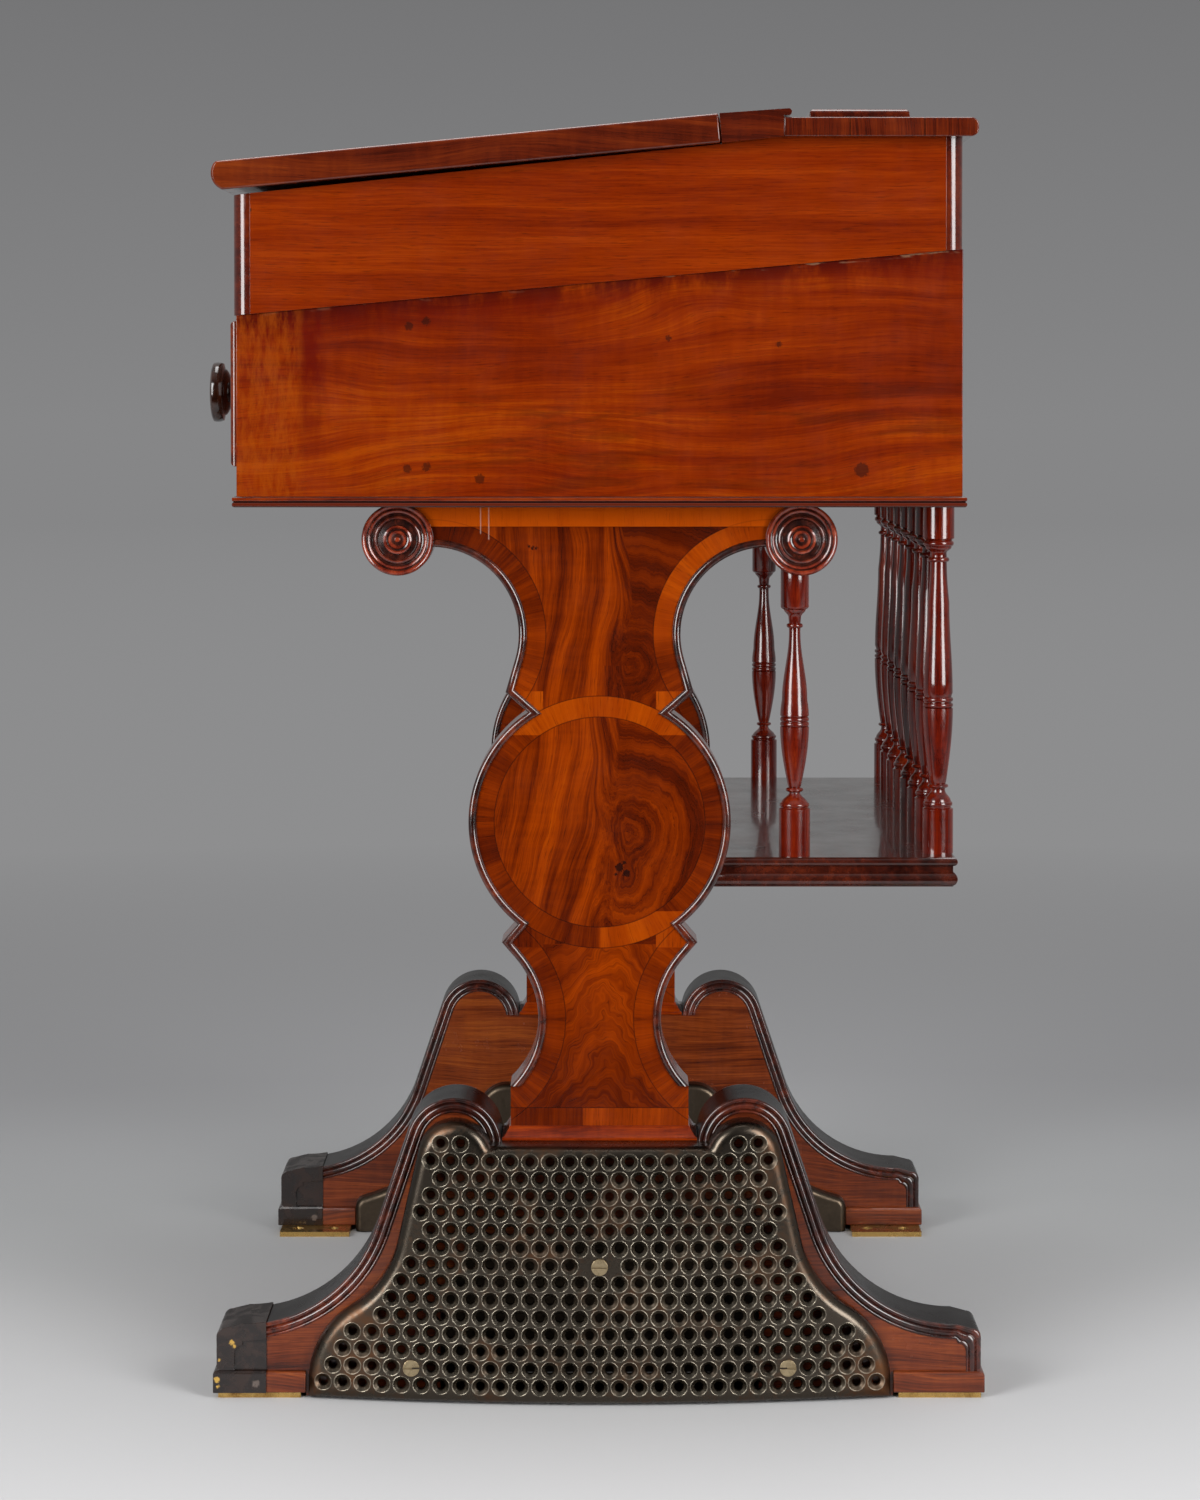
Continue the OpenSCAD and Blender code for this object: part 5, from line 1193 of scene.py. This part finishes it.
def case_side_finish():
    """Plain figured side: long dark streaks low down, redder along the top and near the front"""
    material, tree, shader = new_finish("case side wood")
    y, z, x = coordinates(tree, "yzx")
    fallen = y * -0.05 + z
    mixture, pores = figure(y, fallen, x, seed=7, cloud=0.35, fine=0.17, ripple=0.08, sway=1.2)
    mixture = mixture + spread(z, 0.65, 0.77, (0.14, -0.12)) + spread(abs(y), 0, 0.18, (0.05, -0.06))
    colour, relief = stained_wood(mixture, pores, ["#701b02", "#882601", "#9c3301", "#b44802"])
    streak = spread(noise(vector(y, fallen, x), (9, 75, 75), 5, 0.68, 0.5), 0.5, 0.6)
    low_and_inner = spread(z, 0.735, 0.69) * spread(y, -0.19, -0.1)
    colour = blend(streak * 0.34 * low_and_inner, colour, dyed("#481a04"))
    under_top = y * case_slope + (case_front_top + case_front_y * case_slope) * mm - z
    front_band = spread(abs(y + 0.199), 0.011, 0.005) * spread(z, 0.65, 0.72)
    ragged = noise(place_of(tree), (60, 60, 25), 4, 0.65)
    red = calc("MAXIMUM", spread(under_top, 0.03, 0.002), front_band) * spread(ragged, 0.3, 0.55)
    colour = blend(red * 0.8, colour, dyed("#6c0e03"))
    deep = spread(under_top, 0.012, 0.001) * spread(ragged, 0.25, 0.5)
    colour = blend(deep * 0.6, colour, dyed("#380602"))
    chips = spread(noise(place_of(tree), (300, 45, 200), 3), 0.55, 0.62)
    chipped = spread(under_top, 0.0026, 0.001) * chips * spread(y, 0, 0.14, (0.15, 0.6))
    colour = blend(chipped, colour, tone("#7d5f48"))
    brush = spread(noise(place_of(tree), (190, 190, 52), 4, 0.66), 0.4, 0.62)
    colour = blend(spread(y, -0.203, -0.211) * brush * 0.5, colour, dyed("#b85208"))
    colour = stains(colour, case_spots, "#1c0a05", 0.65)
    polish(shader, colour, relief, shine=0.25, roughness=(0.15, 0.26))
    return material


def moulding_finish():
    """Two orange-brown reeds, the lower one darker, with near-black grooves between them"""
    material, tree, shader = new_finish("case moulding")
    x, y, z = coordinates(tree, "xyz")
    reeds_up = calc("DIVIDE", z - case_low * mm, reed_h * mm)
    groove = spread(abs(calc("FRACT", reeds_up) - 0.5), 0.26, 0.42)
    colour, relief = grain(x + y, z, z, ["#58180a", "#842a06", "#a03c08", "#b44a0c"], seed=21)
    lower = blend(spread(reeds_up, 1.05, 0.95), colour, dyed("#6a2410"))
    polish(shader, blend(groove, lower, tone("#120806")), relief, shine=0.35)
    return material


case_wood = case_side_finish()
for _, word in sides:
    eased(f"case_side_{word}_board", f"case_side_{word}", 0.5, "desk", "mahogany", case_wood)
wide_wood = board_finish("case front and back wood", "xzy", ["#4c1404", "#742303", "#903404", "#a64608"],
                         seed=8, ripple=0.2, shine=0.35)
eased("case_back_board", "case_back", 0.5, "desk", "mahogany", wide_wood)
eased("case_front_rails", "front_rails", 0.4, "desk", "mahogany", wide_wood)
eased("case_foot_moulding", "base_moulding", 0.1, "desk", "dark_mahogany", moulding_finish())
floor_wood = board_finish("writing box floor", "xyz", ["#702a08", "#8e4010", "#a65418", "#ba6a24"], seed=11,
                          shine=0.1, roughness=(0.4, 0.6))
eased("case_top_board", "case_top", 0.3, "desk", "light_mahogany", floor_wood)
eased("case_bottom_board", "case_bottom", 0.4, "desk", "pine", pine)
eased("runners", "drawer_runners", 0.4, "desk", "pine", pine)


# Drawer
# One wide drawer with a lipped mahogany front, two turned knobs, and pine sides, back and bottom.

eased("drawer_front_board", "drawer_front", 0.3, "drawer", "mahogany", wide_wood)
eased("drawer_side_boards", "drawer_sides", 0.5, "drawer", "pine", pine)
eased("drawer_back_board", "drawer_back", 0.5, "drawer", "pine", pine)
eased("drawer_bottom_board", "drawer_bottom", 0.4, "drawer", "pine", pine)

lip_y, knob_x, knob_z, knob_l, dowel_l, dowel_r, knob_steps = -256.6, 180, 706.5, 26.9, 21, 6, 48
knob_profile = [(0, -dowel_l), (dowel_r, -dowel_l), (dowel_r, 0), (10.9, 0), (10.9, 1.6)]
knob_profile += curve_between((10.9, 1.6), (4.2, 9.6), "ease", 6)
knob_profile += curve_between((4.2, 9.6), (17, 16), "vase", 5)
knob_profile += [(18.8 + 3 * cos(radians(a)), 21.2 + 5.6 * sin(radians(a))) for a in range(-50, 31, 16)]
knob_profile += [(21.3 * cos(radians(a)), 24 + 2.9 * sin(radians(a))) for a in range(18, 90, 12)]
knob_profile += [(0, knob_l)]
knobs = [turned("knob", knob_profile, (x, lip_y, knob_z), "-y", knob_steps) for x in (-knob_x, knob_x)]
knob_wood = board_finish("knob wood", "zxy", ["#1a0a05", "#30150b", "#462210", "#5a3018"], seed=23,
                         shine=0.6, roughness=(0.12, 0.24))
placed("drawer_knobs_turned", joined("knobs", knobs), "drawer", "dark_mahogany", knob_wood, "drawer_knobs")


# Writing box
# A later, lighter mahogany box on the case: plain sides between dark front and back boards whose
# upright corners are rounded.

box_wood = board_finish("box side wood", "yzx", ["#7c2101", "#8e2a01", "#9a3201", "#a83c03"], seed=5,
                        cloud=0.2, stripe=0.45, fine=0.35, ripple=0.04, sway=0.25, width=1.5, shine=0.25,
                        spots=[(-241.3, 832.1, 1)])
for _, word in sides:
    eased(f"box_side_{word}_board", f"box_side_{word}", 0.12, "desk", "light_mahogany", box_wood)
box_end_wood = board_finish("box front wood", "xzy", ["#461208", "#5e1a0a", "#74260c", "#883410"], seed=13,
                            shine=0.6, roughness=(0.12, 0.25))
eased("box_front_board", "box_front", 0.12, "desk", "dark_mahogany", box_end_wood)
eased("box_back_board", "box_back", 0.12, "desk", "dark_mahogany", box_end_wood)


# Hinge rail, ledge and ink block
# The lid hinges on a rail with a rounded nose. Behind it a flat ledge carries a block with two glass
# ink pots and a tray for pens.

top_tones = ["#3a0e05", "#561808", "#6e230a", "#86320e"]
top_wood = board_finish("lid and ledge wood", "xyz", top_tones, seed=15, ripple=0.15, shine=0.6,
                        roughness=(0.12, 0.22))
rail_wood = board_finish("rail wood", "yzx", top_tones, seed=16, shine=0.6, roughness=(0.12, 0.22))


crack_at = (172.1, 223.4)


def ledge_finish():
    """Ledge with upright veneer round its edge, which has cracked through twice at each end"""
    material, tree, shader = new_finish("ledge wood")
    x, y, z = coordinates(tree, "xyz")
    facing_up = spread(parts_of(source(tree, "ShaderNodeNewGeometry", "Normal"))[2], 0.75, 0.85)
    pick = [made("ShaderNodeMix", {0: facing_up, 2: a, 3: b}) for a, b in ((z, x), (y, y), (x, z))]
    colour, relief = grain(*pick, top_tones, seed=18, cloud=0.2, stripe=0.3, fine=0.4)
    cracks = calc("MAXIMUM", *[line_at(y, at) for at in crack_at]) * spread(abs(x), 0.325, 0.332)
    polish(shader, blend(cracks * 0.85, colour, tone("#0c0402")), relief, shine=0.6,
           roughness=(0.12, 0.22))
    return material


eased("hinge_rail_board", "hinge_rail", 1.0, "desk", "dark_mahogany", rail_wood)
eased("rear_ledge", "ledge", 0.9, "desk", "dark_mahogany", ledge_finish())
eased("ink_stand", "ink_block", 0.6, "desk", "dark_mahogany", top_wood)

pot_glass, tree, shader = new_finish("pot glass")
tint = ramp(noise(place_of(tree), (60, 60, 60), 2), [(0.3, "#c4d4cc"), (0.7, "#dbe6df")])
feed(shader, {"Base Color": tint, "Transmission Weight": 0.9, "Roughness": 0.06, "IOR": 1.5})
eased("glass_ink_pots", "ink_pots", 0.4, "desk", "glass", pot_glass)


# Lid and its hinges
# A sloped mahogany board with a round nose and a cleat across each end, on two brass butt hinges.

lid_end_tones = ["#461206", "#66200a", "#7e2e0e", "#963e12"]
lid_wood = board_finish("lid end wood", "yzx", lid_end_tones, seed=17, shine=0.6, roughness=(0.12, 0.22))
eased("lid_main_board", "lid_board", 1.0, "lid", "mahogany", top_wood)
eased("lid_end_cleats", "lid_cleats", 1.5, "lid", "dark_mahogany", lid_wood)
for node in ("hinge_leaves_lid", "hinge_leaves_rail", "hinge_pins", "hinge_screws_lid", "hinge_screws_rail"):
    keep(node, brass)
